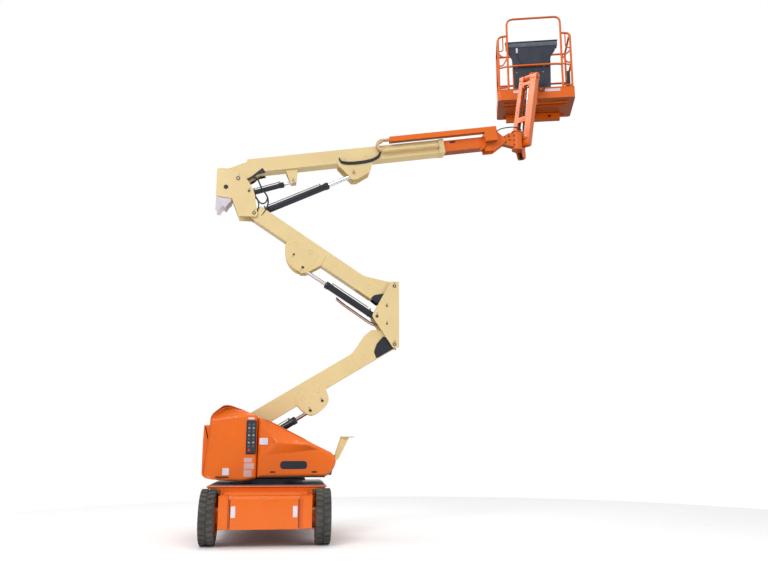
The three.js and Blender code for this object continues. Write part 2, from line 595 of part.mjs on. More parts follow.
const uprightBody = body(midBody, "upright_body", [midPin[0], 0, midPin[1]], { tilt: MID_BOX_ANGLE - 180 });
function upright(group) {
  const [mx, mz] = MAIN_PIVOT;
  const crown = [100, 70, 40, 10].map((a) => [mx + 98 * cosd(a), mz + 98 * sind(a)]);
  const outline = [
    [47, -13], [24, -51], [-211, -51], [-239, 24], [-308, 200], [-506, 225], [-526, 257], [-526, 607], [-506, 632],
    [-371, 632], ...crown, [-91, 457], [-26, 352], [2, 267],
  ].reverse();
  const made = join(
    ...plates(outline, UPRIGHT_INNER, UPRIGHT_T),
    box(-526, -512, -UPRIGHT_INNER - 1, UPRIGHT_INNER + 1, 270, 600),
    pinY(0, 0, ARM_PIN_R, UPRIGHT_INNER + UPRIGHT_T + 6),
    pinY(mx, mz, 30, UPRIGHT_INNER + UPRIGHT_T + 6, 24),
    pinY(...LEVEL_BASE, LEVEL_CYL.rod * 0.8, UPRIGHT_INNER + UPRIGHT_T + 5),
    pinY(-395, 361, 42, UPRIGHT_INNER + UPRIGHT_T + 2),
  );
  add(group, "tower_upright", cut(made, pinY(-395, 361, 33, 300)), CREAM);
}
upright(uprightBody);

// ---- main boom
const mainBody = body(uprightBody, "main_boom_body", flat(MAIN_PIVOT), { tilt: MAIN_ANGLE });
const pinOnMain = ([x, z]) => {
  const [dx, dz] = turned(x, z, MAIN_ANGLE);
  return [MAIN_PIVOT[0] + dx, MAIN_PIVOT[1] + dz];
};
cylinder(uprightBody, "lift_cylinder", [0, 0], pinOnMain(LIFT_ROD_PIN), LIFT_CYL);
cylinder(uprightBody, "level_cylinder", LEVEL_BASE, pinOnMain(LEVEL_ROD_PIN), LEVEL_CYL);

function tube(x0, x1, half, z0, z1, wall) {
  return cut(
    box(x0, x1, -half, half, z0, z1),
    box(x0 - 10, x1 + 10, -half + wall, half - wall, z0 + wall, z1 - wall),
  );
}

function mainBoom(group) {
  const { from, to, bottom, depth, half } = MAIN_BOX;
  const top = bottom + depth;
  const tail = [
    [60, -62], [300, bottom + 1], [300, top], [258, top - 4], [-118, 164], [-92, 20], [-80, -40], [-40, -84], [20, -88],
  ];
  const gusset = [[1400, bottom + 40], [1414, 40], [1578, -190], [1650, -195], [1838, -110], [1913, 40], [1913, bottom + 40]];
  const bracket = [[660, bottom + 20], [840, bottom + 20], [792, -128], [714, -128]];
  const padIn = FLY.half + PAD_FIT;
  const collar = cut(
    box(to - 70, to, -half - 6, half + 6, bottom - 6, top + 6),
    box(to - 80, to + 10, -padIn, padIn, FLY.bottom - PAD_FIT, FLY.bottom + FLY.depth + PAD_FIT),
  );
  const made = cut(
    join(
      tube(from, to, half, bottom, top, BOOM_WALL),
      ...plates(tail, half - GUSSET_T, GUSSET_T),
      ...plates(gusset, half - 0.5, GUSSET_T),
      ...plates(bracket, 60, GUSSET_T),
      collar,
      ...[-1, 1].map((s) => bossY(...LIFT_ROD_PIN, s, half - 26, 30, 44)),
      ...[-1, 1].map((s) => bossY(...LEVEL_ROD_PIN, s, 56, 22, 22)),
    ),
    pinY(0, 0, 30 + PIN_FIT, 200, 24),
  );
  add(group, "main_boom", made, CREAM);
  const { outer, sheet, trayFrom, trayTo, trayTop } = TRACK;
  const tray = join(
    box(trayFrom, trayTo, -outer, -half - SEAT, TRAY_BOTTOM, TRAY_BOTTOM + sheet),
    box(trayFrom, trayTo, -outer, -outer + sheet, TRAY_BOTTOM, trayTop),
  );
  add(group, "track_tray", tray, CREAM);
}
mainBoom(mainBody);

const bendBody = body(mainBody, "track_bend_body", [BEND.x, 0, 0]);
function trackBend(group) {
  const [y0, y1] = [-TRACK.outer + TRACK.sheet + 5, -TRACK.inner - TRACK.sheet - 5];
  const arc = (r) => Array.from({ length: 13 }, (_, i) => [r * cosd(90 + 15 * i), BEND.z + r * sind(90 + 15 * i)]);
  const made = join(
    plate([...arc(BEND.outer), ...arc(BEND.inner).reverse()], y0, y1),
    box(-1, BEND.low, y0, y1, BEND.z - BEND.outer, BEND.z - BEND.inner),
    box(-1, BEND.high, y0, y1, BEND.z + BEND.inner, BEND.z + BEND.outer),
  );
  add(group, "track_bend", made, BAND);
}
trackBend(bendBody);

const flyBody = body(mainBody, "fly_boom_body", [0, 0, 0]);
function flyBoom(group) {
  const { from, to, half, bottom, depth, wall } = FLY;
  const top = bottom + depth;
  const [hx, hz] = HEAD_PIVOT;
  const fork = [
    [3590, 31], [3740, 31], [hx + 20, hz - 50], [hx + 50, hz - 20], [hx + 50, hz + 22], [3790, CARRIER.top], [3660, CARRIER.top], [3590, top],
  ];
  const inside = MAIN_BOX.half - BOOM_WALL - PAD_FIT;
  const pads = cut(
    box(from, from + 90, -inside, inside, MAIN_BOX.bottom + BOOM_WALL + PAD_FIT, MAIN_BOX.bottom + MAIN_BOX.depth - BOOM_WALL - PAD_FIT),
    box(from - 5, from + 100, -half + wall, half - wall, bottom + wall, top - wall),
  );
  const made = join(
    tube(from, to, half, bottom, top, wall),
    ...plates(fork, half - GUSSET_T, GUSSET_T),
    pads,
    pinY(hx, hz, ARM_PIN_R, half + 6),
  );
  add(group, "fly_boom", made, ORANGE);
  const [y0, y1] = [-TRACK.outer, -TRACK.inner];
  const carrier = cut(
    join(
      box(CARRIER.from, CARRIER.to, y0, y1, CARRIER.bottom, CARRIER.top),
      box(3600, 3780, y0, -half - SEAT, bottom + 60, CARRIER.bottom + 6),
    ),
    box(CARRIER.from - 5, CARRIER.to - 60, y0 + TRACK.sheet, y1 - TRACK.sheet, CARRIER.bottom + TRACK.sheet, CARRIER.top + 5),
  );
  add(group, "track_carrier", carrier, ORANGE);
}
flyBoom(flyBody);

// ---- head, jib and platform
const headBody = body(flyBody, "head_body", flat(HEAD_PIVOT), { tilt: -MAIN_ANGLE });
function head(group) {
  const lug = [[-46, 0], [-30, -40], [30, -50], [SWING_X, -96], [SWING_X, 130], [110, 130], [-20, 46]];
  const made = cut(
    join(plate(lug, -50, 50), rod([SWING_X, 0, SWING_LOW], [SWING_X, 0, SWING_HIGH], SWING_R, 24)),
    pinY(0, 0, ARM_PIN_R + PIN_FIT, 200),
  );
  add(group, "boom_head", made, ORANGE);
}
head(headBody);

const swivelBody = body(headBody, "jib_swivel_body", [SWING_X, 0, 0], { yaw: SWING_ANGLE });
const jibPinR = 24;
const inLeft = JIB_HALF - JIB_RAIL_LEFT - 10; // the space between the side members
const inRight = -JIB_HALF + JIB_RAIL_RIGHT + 10;
const CHEEK_T = 13;
function swivel(group) {
  const arm = (z0, z1) => join(
    rod([0, 0, z0], [0, 0, z1], SWING_R + 8, 24),
    box(0, SWING_R + 26, inRight, inLeft, z0, z1),
  );
  const cheek = [
    [SWING_R + 12, SWING_LOW - 16], [JIB_OUT - 10, JIB_BASE_Z + JIB_CYL_BASE[1] - 12], [JIB_OUT + 30, JIB_BASE_Z + JIB_CYL_BASE[1] - 30],
    [JIB_OUT + 66, JIB_BASE_Z + JIB_CYL_BASE[1]], [JIB_OUT + 52, JIB_BASE_Z - 20], [JIB_OUT + 36, JIB_BASE_Z + 40],
    [SWING_R + 34, SWING_HIGH + 16], [SWING_R + 12, SWING_HIGH + 16],
  ];
  const made = join(
    arm(SWING_HIGH + SEAT, SWING_HIGH + 16),
    arm(SWING_LOW - 16, SWING_LOW - SEAT),
    box(SWING_R + 12, SWING_R + 26, inRight, inLeft, SWING_LOW - 16, SWING_HIGH + 16),
    plate(cheek, inLeft - CHEEK_T, inLeft),
    plate(cheek, inRight, inRight + CHEEK_T),
    pinY(JIB_OUT, JIB_BASE_Z, jibPinR, JIB_HALF + 6),
    rod([JIB_OUT + JIB_CYL_BASE[0], inRight, JIB_BASE_Z + JIB_CYL_BASE[1]],
      [JIB_OUT + JIB_CYL_BASE[0], inLeft, JIB_BASE_Z + JIB_CYL_BASE[1]], JIB_CYL.rod * 0.8),
  );
  add(group, "jib_swivel", made, ORANGE);
}
swivel(swivelBody);

const jibBody = body(swivelBody, "jib_body", [JIB_OUT, 0, JIB_BASE_Z], { tilt: JIB_ANGLE });
const mountTubeR = 34;
function jib(group) {
  const d = JIB_DEPTH / 2;
  const end = JIB_LENGTH;
  const member = (y0, y1) => cut(
    join(box(0, end, y0, y1, -d, d), rod([0, y0, 0], [0, y1, 0], d, 24), rod([end, y0, 0], [end, y1, 0], d, 24)),
    box(60, end - 60, y0 + 7, y1 - 7, -d + 7, d + 7),
  );
  const made = cut(
    join(
      member(JIB_HALF - JIB_RAIL_LEFT, JIB_HALF),
      member(-JIB_HALF, -JIB_HALF + JIB_RAIL_RIGHT),
      box(400, 500, -JIB_HALF + JIB_RAIL_RIGHT - 2, JIB_HALF - JIB_RAIL_LEFT + 2, d - 14, d),
      box(1120, 1180, -JIB_HALF + JIB_RAIL_RIGHT - 2, JIB_HALF - JIB_RAIL_LEFT + 2, d - 14, d),
      ...[inLeft - CHEEK_T, inRight].map((y) => plate([[1085, -48], [1175, -48], [1190, d], [1070, d]], y, y + CHEEK_T)),
      ...[[inLeft - 1, JIB_HALF - JIB_RAIL_LEFT + 2], [-JIB_HALF + JIB_RAIL_RIGHT - 2, inRight + 1]].map(([y0, y1]) =>
        box(1100, 1160, y0, y1, -20, 20)),
    ),
    pinY(0, 0, jibPinR + PIN_FIT, 300),
    pinY(end, 0, mountTubeR + PIN_FIT, 300, 24),
  );
  add(group, "jib_frame", made, ORANGE);
}
jib(jibBody);
const jibRodEnd = turned(...JIB_ROD_PIN, JIB_ANGLE);
cylinder(swivelBody, "jib_cylinder", [JIB_OUT + JIB_CYL_BASE[0], JIB_BASE_Z + JIB_CYL_BASE[1]],
  [JIB_OUT + jibRodEnd[0], JIB_BASE_Z + jibRodEnd[1]], JIB_CYL, JIB_CYL_SIDE);

const mountBody = body(jibBody, "platform_mount_body", [JIB_LENGTH, 0, 0], { tilt: -JIB_ANGLE });
function mount(group) {
  const cheek = [[-30, -20], [-20, -40], [ROTATOR_OUT - 10, -70], [ROTATOR_OUT - 10, 70], [-20, 40], [-30, 20]];
  const ears = [-1, 1].map((s) => bossY(0, 0, s, JIB_HALF + 2, 44, 10));
  const made = join(
    plate(cheek, inRight, inLeft),
    pinY(0, 0, mountTubeR, JIB_HALF + 4, 24),
    ...ears,
    rod([ROTATOR_OUT, 0, -ROTATOR_HALF], [ROTATOR_OUT, 0, ROTATOR_HALF], ROTATOR_R, 24),
  );
  add(group, "platform_mount", made, ORANGE);
}
mount(mountBody);

const platformBody = body(mountBody, "platform_body", [ROTATOR_OUT, 0, 0], { yaw: PLATFORM_ANGLE });
const floorZ = PLATFORM.bottom + FLOOR_PLATE;
const near = PLATFORM.near;
const far = near + PLATFORM.depth;
const left = PLATFORM.side + PLATFORM.width / 2;
const right = PLATFORM.side - PLATFORM.width / 2;
const toeTop = PLATFORM.bottom + TOE_HEIGHT;

function platform(group) {
  const arm = (z0, z1) => join(rod([0, 0, z0], [0, 0, z1], ROTATOR_R + 8, 24), box(0, near - 20, -55, 55, z0, z1));
  const beamLow = PLATFORM.bottom - 120;
  const under = PLATFORM.bottom - 5;
  const beam = cut(
    box(near + 560, near + 640, PLATFORM.side - 420, PLATFORM.side + 460, beamLow, under),
    box(near + 568, near + 632, PLATFORM.side - 430, PLATFORM.side + 470, beamLow + 8, under - 8),
    ...[-250, 0, 250].map((y) => rod([near + 500, PLATFORM.side + y, beamLow + 60], [far, PLATFORM.side + y, beamLow + 60], 27, 16)),
  );
  const support = join(
    arm(ROTATOR_HALF + SEAT, ROTATOR_HALF + 16),
    arm(-ROTATOR_HALF - 16, -ROTATOR_HALF - SEAT),
    box(near - 34, near - 20, -70, 70, beamLow, ROTATOR_HALF + 16),
    cut(box(near - 34, near + 561, -50, 50, beamLow, under), box(near - 20, near + 570, -42, 42, beamLow + 8, under + 8)),
    box(near + 100, near + 200, PLATFORM.side - 300, PLATFORM.side + 300, under - 6, PLATFORM.bottom - SEAT),
    box(near + 568, near + 632, PLATFORM.side - 300, PLATFORM.side + 300, under - 2, PLATFORM.bottom - SEAT),
    beam,
  );
  add(group, "platform_support", support, ORANGE);

  const outline = roundedRect(near, far, right, left, 45);
  const floor = join(
    cut(slab(outline, PLATFORM.bottom, toeTop), slab(inset(outline, TOE_T), floorZ, toeTop + 10)),
    slab(roundedRect(near + 60, far - 60, right + 60, left - 60, 30), floorZ - 1, floorZ + TREAD),
  );
  add(group, "platform_floor", floor, ORANGE);
  add(group, "platform_rails", rails(), ORANGE);
  add(group, "platform_console", consoleBox(), SLATE);
}

const railTop = PLATFORM.bottom + RAIL_HEIGHT;
const midTop = PLATFORM.bottom + MID_RAIL;
const hoopTop = PLATFORM.bottom + HOOP_HEIGHT;
const railIn = RAIL_R + TOE_T + 9;
const [nx, fx, ly, ry] = [near + railIn, far - railIn, left - railIn, right + railIn];
const gateNear = PLATFORM.side + GATE_HINGE;
const gateFar = gateNear + GATE_WIDTH;

function rails() {
  const foot = floorZ + SEAT;
  const side = (y, out, gatePost) => {
    const hoopY = PLATFORM.side + out * HOOP_HALF;
    return [
      rail([[nx, hoopY, railTop], [nx, y - out * 50, railTop], [nx + 50, y, railTop], [fx - 50, y, railTop],
        [fx, y - out * 50, railTop], [fx, gatePost, railTop], [fx, gatePost, foot]]),
      rail([[nx, hoopY, midTop], [nx, y, midTop], [fx, y, midTop], [fx, gatePost, midTop]]),
      ...[nx, fx].map((x) => rod([x, y, foot], [x, y, railTop - 14], RAIL_R, 8)),
    ];
  };
  const [hoopLeft, hoopRight] = [PLATFORM.side + HOOP_HALF, PLATFORM.side - HOOP_HALF];
  const bend = 90;
  const hoop = rail([
    [nx, hoopLeft, foot], [nx, hoopLeft, hoopTop - bend], [nx, hoopLeft - bend, hoopTop],
    [nx, hoopRight + bend, hoopTop], [nx, hoopRight, hoopTop - bend], [nx, hoopRight, foot],
  ]);
  const bulge = rail([
    [nx, hoopLeft, midTop], [nx - 20, hoopLeft - 60, midTop], [nx - 20, hoopRight + 60, midTop], [nx, hoopRight, midTop],
  ]);
  return join(hoop, bulge, ...side(ly, 1, gateFar), ...side(ry, -1, gateNear));
}

function consoleBox() {
  const c = PLATFORM.side;
  const at = (x) => c - x; // measured from the platform's middle towards the driven side
  const face = [
    [at(240), toeTop - 20], [at(-335), toeTop - 20], [at(-335), 560], [at(-450), 640], [at(-450), 808], [at(350), 808],
    [at(350), 640], [at(240), 560],
  ];
  const front = nx + RAIL_R + SEAT;
  return join(
    section(face, front, front + 30),
    box(front + 20, near + 150, at(350), at(-450), 650, 790),
  );
}
platform(platformBody);

const gateBody = body(platformBody, "gate_body", [fx, gateNear, 0]);
function gate(group) {
  const hinge = RAIL_R * 2 + 13;
  const tip = GATE_WIDTH - RAIL_R * 2 - 8;
  const [z0, z1] = [toeTop + 40, railTop - 50];
  const frame = rail([[0, 300, z0], [0, hinge, z0], [0, hinge, z1], [0, tip, z1], [0, tip, z0], [0, 299, z0]]);
  const sleeves = [z0 + 60, z1 - 60].map((z) => cut(
    join(rod([0, 0, z - 25], [0, 0, z + 25], RAIL_R + 8, 16), box(-7, 7, RAIL_R + 4, hinge - 5, z - 11, z + 13)),
    rod([0, 0, z - 40], [0, 0, z + 40], RAIL_R + PIN_FIT, 16),
  ));
  add(group, "platform_gate", join(frame, rail([[0, hinge, midTop], [0, tip, midTop]]), ...sleeves), ORANGE);
}
gate(gateBody);

// ---- the whole lift, standing with the middle of its box over the origin
lift.updateMatrixWorld(true);
const bounds = new THREE.Box3().setFromObject(lift, true);
lift.position.set(-(bounds.min.x + bounds.max.x) / 2, -(bounds.min.y + bounds.max.y) / 2, -bounds.min.z);
const root = new THREE.Group();
root.name = "boom_lift";
root.add(lift);
export default root;
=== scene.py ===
# %% [markdown]
# # An electric articulating boom lift
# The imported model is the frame: it already holds the booms, the chassis and every joint in metres.
# Each cell below adds one kind of visible piece or one finish, and hangs it on the body it moves with.

# %% Load the frame
import json
import math

import bmesh
import bpy
import numpy as np
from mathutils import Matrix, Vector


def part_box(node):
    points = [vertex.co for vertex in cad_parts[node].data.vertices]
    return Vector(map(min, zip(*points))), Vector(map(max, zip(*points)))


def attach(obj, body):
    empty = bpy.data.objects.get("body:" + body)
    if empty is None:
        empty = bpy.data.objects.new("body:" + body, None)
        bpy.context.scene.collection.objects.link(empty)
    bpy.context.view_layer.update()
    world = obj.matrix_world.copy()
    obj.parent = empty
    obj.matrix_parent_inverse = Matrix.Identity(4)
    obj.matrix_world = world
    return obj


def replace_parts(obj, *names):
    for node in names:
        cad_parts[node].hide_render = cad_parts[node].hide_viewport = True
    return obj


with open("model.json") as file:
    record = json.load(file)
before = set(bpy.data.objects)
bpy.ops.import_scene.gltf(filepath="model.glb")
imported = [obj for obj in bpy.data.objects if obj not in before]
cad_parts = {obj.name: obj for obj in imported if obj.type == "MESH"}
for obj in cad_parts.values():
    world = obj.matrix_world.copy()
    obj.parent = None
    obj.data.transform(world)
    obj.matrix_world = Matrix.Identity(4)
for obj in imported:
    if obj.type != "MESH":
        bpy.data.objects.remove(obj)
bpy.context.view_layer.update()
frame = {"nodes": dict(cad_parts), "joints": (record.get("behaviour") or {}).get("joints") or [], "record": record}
nodes, joints = frame["nodes"], {j["name"]: j for j in frame["joints"]}

# %% [markdown]
# The lift is drawn on several slanted axes: each arm has its own. A Place is an origin and three
# directions, so that a piece can be written in millimetres along its own arm, as on a drawing.


# %% Places along each arm
class Place:
    """An origin, a tilt above the horizon and a turn about the vertical."""

    def __init__(self, origin, tilt=0.0, turn=0.0):
        t, y = math.radians(tilt), math.radians(turn)
        x_dir = (math.cos(t) * math.cos(y), math.cos(t) * math.sin(y), math.sin(t))
        y_dir = (-math.sin(y), math.cos(y), 0.0)
        self.origin = np.array(origin, float)
        self.axes = np.array([x_dir, y_dir, np.cross(x_dir, y_dir)])

    def at(self, points):
        """Millimetres along this place's own directions, as metres in the row's frame."""
        return self.origin + np.asarray(points, float) / 1000 @ self.axes


LOWER_TILT, MID_TILT, MAIN_TILT, JIB_TILT = 31.1, 146.5, 9.0, 74.0
SWING, PLATFORM_TURN = 44.0, 76.2
low, high = (np.array(c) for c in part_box("slew_ring"))
machine = Place([(low[0] + high[0]) / 2, (low[1] + high[1]) / 2, 0.0])


def standing(joint, tilt=0.0, turn=0.0):
    return Place(joints[joint]["pos_m"], tilt, turn)


lower = standing("tower_lift", LOWER_TILT)
knuckle = standing("knuckle_level")
mid = standing("mid_boom_follow", MID_TILT)
upright = standing("upright_level")
main = standing("main_lift", MAIN_TILT)
head = standing("head_level")
jib = standing("jib_lift", JIB_TILT, SWING)
deck = standing("platform_rotate", 0, PLATFORM_TURN)
gate = standing("gate_open", 0, PLATFORM_TURN)
print("platform rotator at", deck.origin.round(3))

# %% [markdown]
# The camera comes first. It stands ten metres from the middle of the slewing ring, a little above
# the deck and tipped up, so that the tower, the boom and the platform rise through the picture.

# %% Camera
EYE_MM, TIP_UP, TURN_RIGHT = [243.4, -10319.8, 1111.2], 11.816, 7.0
eye = machine.at(EYE_MM)
camera = bpy.data.objects.new("camera", bpy.data.cameras.new("camera"))
bpy.context.scene.collection.objects.link(camera)
camera.location = eye
camera.rotation_euler = (math.radians(90 + TIP_UP), 0, math.radians(-TURN_RIGHT))
camera.data.lens = 35.625
camera.data.sensor_width = 36
bpy.context.scene.camera = camera

# %% [markdown]
# Every finish is built from nodes. Colours are typed as the sRGB hex values of a paint chart and
# turned to linear light here, because the shader works in linear light.


# %% Colour and node helpers
def linear(code):
    """sRGB hex to linear: c/12.92 below 0.04045, otherwise ((c + 0.055)/1.055) to the power 2.4."""
    srgb = [int(code[i : i + 2], 16) / 255 for i in (1, 3, 5)]
    return [c / 12.92 if c <= 0.04045 else ((c + 0.055) / 1.055) ** 2.4 for c in srgb] + [1.0]


def add(tree, kind, settings=None, **links):
    """Adds one node: settings go to its properties or sockets, links join sockets to its inputs."""
    node = tree.nodes.new("ShaderNode" + kind)
    for key, value in (settings or {}).items():
        if hasattr(node, key):
            setattr(node, key, value)
        else:
            node.inputs[key].default_value = value
    for key, socket in links.items():
        names = {i.name.replace(" ", "_"): i for i in node.inputs if i.enabled}
        tree.links.new(socket, names[key])
    return node


def new_material(name, **sockets):
    """A material with one Principled shader, its fixed values set on the shader's own sockets."""
    material = bpy.data.materials.new(name)
    material.use_nodes = True
    tree = material.node_tree
    shader = tree.nodes["Principled BSDF"]
    for key, value in sockets.items():
        shader.inputs[key.replace("_", " ")].default_value = value
    where = add(tree, "TexCoord").outputs["Object"]
    return material, tree, shader, where


def speckle(tree, where, period_mm, detail=3.0, rough=0.55):
    """A noise whose blotches are about period_mm across."""
    return add(tree, "TexNoise", {"Scale": 1000 / period_mm, "Detail": detail, "Roughness": rough},
               Vector=where)


def ramp(tree, socket, stops):
    """Colours or greys along a 0 to 1 value. stops are (place, hex)."""
    node = add(tree, "ValToRGB", Fac=socket)
    bar = node.color_ramp
    while len(bar.elements) < len(stops):
        bar.elements.new(0.5)
    for element, (place, code) in zip(bar.elements, stops):
        element.position = place
        element.color = linear(code)
    return node


def spread(tree, socket, low_end, high_end):
    """A 0.3 to 0.7 noise stretched to run from low_end to high_end."""
    settings = {"From Min": 0.3, "From Max": 0.7, "To Min": low_end, "To Max": high_end}
    return add(tree, "MapRange", settings, Value=socket).outputs["Result"]


def bump(tree, shader, height, strength, depth_mm):
    settings = {"Strength": strength, "Distance": depth_mm / 1000}
    tree.links.new(add(tree, "Bump", settings, Height=height).outputs["Normal"], shader.inputs["Normal"])


# %% [markdown]
# Machine enamel is sprayed on steel plate and baked. It is glossy under a clear skin, has the faint
# ripple called orange peel, and gathers a thin film of dust that dulls it in broad patches.


# %% Sprayed enamel
def enamel(name, fresh, dusty, gloss=0.28, shadow=None):
    """shadow is a painted shade colour: it is mixed into the paint on faces that look down, so that undersides
    read darker.
    """
    made = new_material(name, Coat_Weight=0.3, Coat_Roughness=0.08, IOR=1.5, Specular_IOR_Level=0.3)
    material, tree, shader, where = made
    film = speckle(tree, where, 420, 5.0)
    grit = speckle(tree, where, 26, 4.0)
    mixed = add(tree, "Mix", {"data_type": "FLOAT", "Factor": 0.35}, A=film.outputs["Fac"],
                B=grit.outputs["Fac"])
    shade = ramp(tree, mixed.outputs[0], [(0.36, fresh), (0.72, dusty)])
    colour = shade.outputs["Color"]
    if shadow:
        # Painted shade: faces that look down are mixed towards the shadow colour, up to three quarters of the way.
        facing = add(tree, "SeparateXYZ", Vector=add(tree, "NewGeometry").outputs["Normal"]).outputs["Z"]
        low = add(tree, "MapRange", {"From Min": -0.35, "From Max": -0.9, "To Min": 0.0, "To Max": 0.75},
                  Value=facing)
        colour = add(tree, "MixRGB", {"Color2": linear(shadow)}, Color1=colour,
                     Fac=low.outputs["Result"]).outputs["Color"]
    tree.links.new(colour, shader.inputs["Base Color"])
    tree.links.new(spread(tree, film.outputs["Fac"], gloss, gloss + 0.16), shader.inputs["Roughness"])
    # Real orange peel is about 3 mm across; it is drawn at 9 mm so that it shows at this distance.
    bump(tree, shader, speckle(tree, where, 9, 2.0).outputs["Fac"], 0.12, 0.4)
    return material


# The orange's last colour, #5A2C14, is painted shade for faces that look down.
orange_enamel = enamel("orange_enamel", "#EA6C0C", "#DE6410", 0.28, "#5A2C14")
cream_enamel = enamel("cream_enamel", "#E6CE98", "#DCC28C", 0.34)
black_enamel = enamel("black_enamel", "#1D202B", "#282B36", 0.3)
grey_primer = enamel("light_grey_primer", "#D9D3DA", "#C6C0C8", 0.5)

# %% [markdown]
# A piston rod is hard chrome on ground steel: almost a mirror, drawn out a little round the rod.
# Pins, bolts and washers are zinc plated, which is greyer and has a coarse crystal bloom.

# %% Plated steels
chrome_plate, tree, shader, where = new_material("hard_chrome_plate", Metallic=1.0)
shader.inputs["Base Color"].default_value = linear("#D6D8DC")
tree.links.new(spread(tree, speckle(tree, where, 30).outputs["Fac"], 0.1, 0.2), shader.inputs["Roughness"])

zinc_plate, tree, shader, where = new_material("zinc_plated_steel", Metallic=1.0)
bloom = speckle(tree, where, 14, 4.0)
shade = ramp(tree, bloom.outputs["Fac"], [(0.3, "#8E8C88"), (0.7, "#B9B6B0")])
tree.links.new(shade.outputs["Color"], shader.inputs["Base Color"])
tree.links.new(spread(tree, bloom.outputs["Fac"], 0.35, 0.5), shader.inputs["Roughness"])

pin_steel, tree, shader, where = new_material("oiled_pin_steel", Metallic=0.8, Roughness=0.42)
shade = ramp(tree, speckle(tree, where, 12, 3.0).outputs["Fac"], [(0.3, "#3E3A3C"), (0.7, "#6E6868")])
tree.links.new(shade.outputs["Color"], shader.inputs["Base Color"])

# %% [markdown]
# The deck is rolled chequer plate: bare grey aluminium with short raised bars, turned a quarter from
# one to the next so that a shoe grips both ways. A pair of waves gives bars about 30 mm apart.

# %% Chequer plate
chequer_plate, tree, shader, where = new_material("rolled_chequer_plate", Metallic=0.75, Roughness=0.45)
BAR_PITCH_MM = 34
cells = add(tree, "TexChecker", {"Scale": 1000 / BAR_PITCH_MM}, Vector=where)
across = add(tree, "TexWave", {"Scale": 1000 / BAR_PITCH_MM / 6.3, "bands_direction": "DIAGONAL"}, Vector=where)
bars = add(tree, "Math", {"operation": "MULTIPLY"})
tree.links.new(cells.outputs["Fac"], bars.inputs[0])
tree.links.new(across.outputs["Fac"], bars.inputs[1])
worn = ramp(tree, bars.outputs["Value"], [(0.1, "#7D7F84"), (0.8, "#B9BABD")])
tree.links.new(worn.outputs["Color"], shader.inputs["Base Color"])
bump(tree, shader, bars.outputs["Value"], 0.8, 2.0)

# %% [markdown]
# The tyres are solid, non-marking rubber, moulded in a steel die. They weather to a brownish grey
# and pick up floor dust in the tread. Moulded plastics and hoses are darker and smoother.


# %% Rubber and plastics
def moulded(name, base, light, roughness, grain_mm, depth_mm):
    material, tree, shader, where = new_material(name, IOR=1.48)
    patch = speckle(tree, where, 180, 5.0)
    shade = ramp(tree, patch.outputs["Fac"], [(0.35, base), (0.68, light)])
    tree.links.new(shade.outputs["Color"], shader.inputs["Base Color"])
    tree.links.new(spread(tree, patch.outputs["Fac"], roughness - 0.06, roughness + 0.06),
                   shader.inputs["Roughness"])
    bump(tree, shader, speckle(tree, where, grain_mm, 3.0).outputs["Fac"], 0.3, depth_mm)
    return material


tyre_rubber = moulded("solid_tyre_rubber", "#3A3836", "#575450", 0.85, 8, 0.6)
slate_plastic = moulded("moulded_slate_plastic", "#2B2F3D", "#363B4A", 0.5, 6, 0.4)
light_slate = moulded("moulded_light_slate_plastic", "#515866", "#626A78", 0.5, 6, 0.4)
hose_rubber = moulded("wrapped_hose_rubber", "#20232C", "#2E323C", 0.5, 5, 0.3)
tan_hose = moulded("tan_hose_sleeve", "#A8643A", "#B9754A", 0.6, 5, 0.3)
track_nylon = moulded("moulded_track_nylon", "#C9A878", "#D8BC90", 0.6, 6, 0.3)
white_film = moulded("blank_white_film", "#D9D2DC", "#E6E0E6", 0.4, 30, 0.02)
pink_film = moulded("blank_pale_film", "#CDA3A2", "#D6B0AE", 0.4, 30, 0.02)

# %% [markdown]
# New pieces are lofts: a row of rings, each ring the same number of points, joined by four-sided
# faces and closed at both ends. A rod, a plate with soft edges, a bent rail and a moulded hood are
# all the same loft with different rings.


# %% Mesh from rings
def loft(name, rings, material, body, ends=True, looped=False, smooth=True):
    """Joins rings, an array of (ring, point, xyz) in metres, into one closed skin that rides on body."""
    rings = np.asarray(rings, float)
    n, m = rings.shape[:2]
    row = np.arange(n if looped else n - 1)[:, None]
    col = np.arange(m)[None, :]
    here, there = row * m, ((row + 1) % n) * m
    quads = np.stack([here + col, there + col, there + (col + 1) % m, here + (col + 1) % m], axis=-1)
    faces = quads.reshape(-1, 4).tolist()
    if ends and not looped:
        faces += [list(range(m)), list(range((n - 1) * m, n * m))]
    return finish_mesh(name, rings.reshape(-1, 3), faces, material, body, smooth)


def finish_mesh(name, points, faces, material, body, smooth=True):
    mesh = bpy.data.meshes.new(name)
    mesh.from_pydata(points.tolist(), [], faces)
    work = bmesh.new()
    work.from_mesh(mesh)
    bmesh.ops.remove_doubles(work, verts=work.verts, dist=1e-6)
    bmesh.ops.recalc_face_normals(work, faces=work.faces)
    for edge in work.edges:
        edge.smooth = smooth and (len(edge.link_faces) != 2 or edge.calc_face_angle(0) < math.radians(38))
    for face in work.faces:
        face.smooth = True
    work.to_mesh(mesh)
    work.free()
    mesh.materials.append(material)
    made = bpy.data.objects.new(name, mesh)
    bpy.context.scene.collection.objects.link(made)
    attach(made, body)
    return made


def merged(name, parts):
    """Joins several finished pieces that share a body into one piece."""
    first, rest = parts[0], parts[1:]
    work = bmesh.new()
    for part in parts:
        work.from_mesh(part.data)
    work.to_mesh(first.data)
    work.free()
    for part in rest:
        bpy.data.objects.remove(part)
    first.name = name
    return first


# %% [markdown]
# Corners of bent plate and tube are never sharp. Each corner is replaced by a short curve whose
# control point is the corner itself, which is close to an arc and needs no trigonometry.


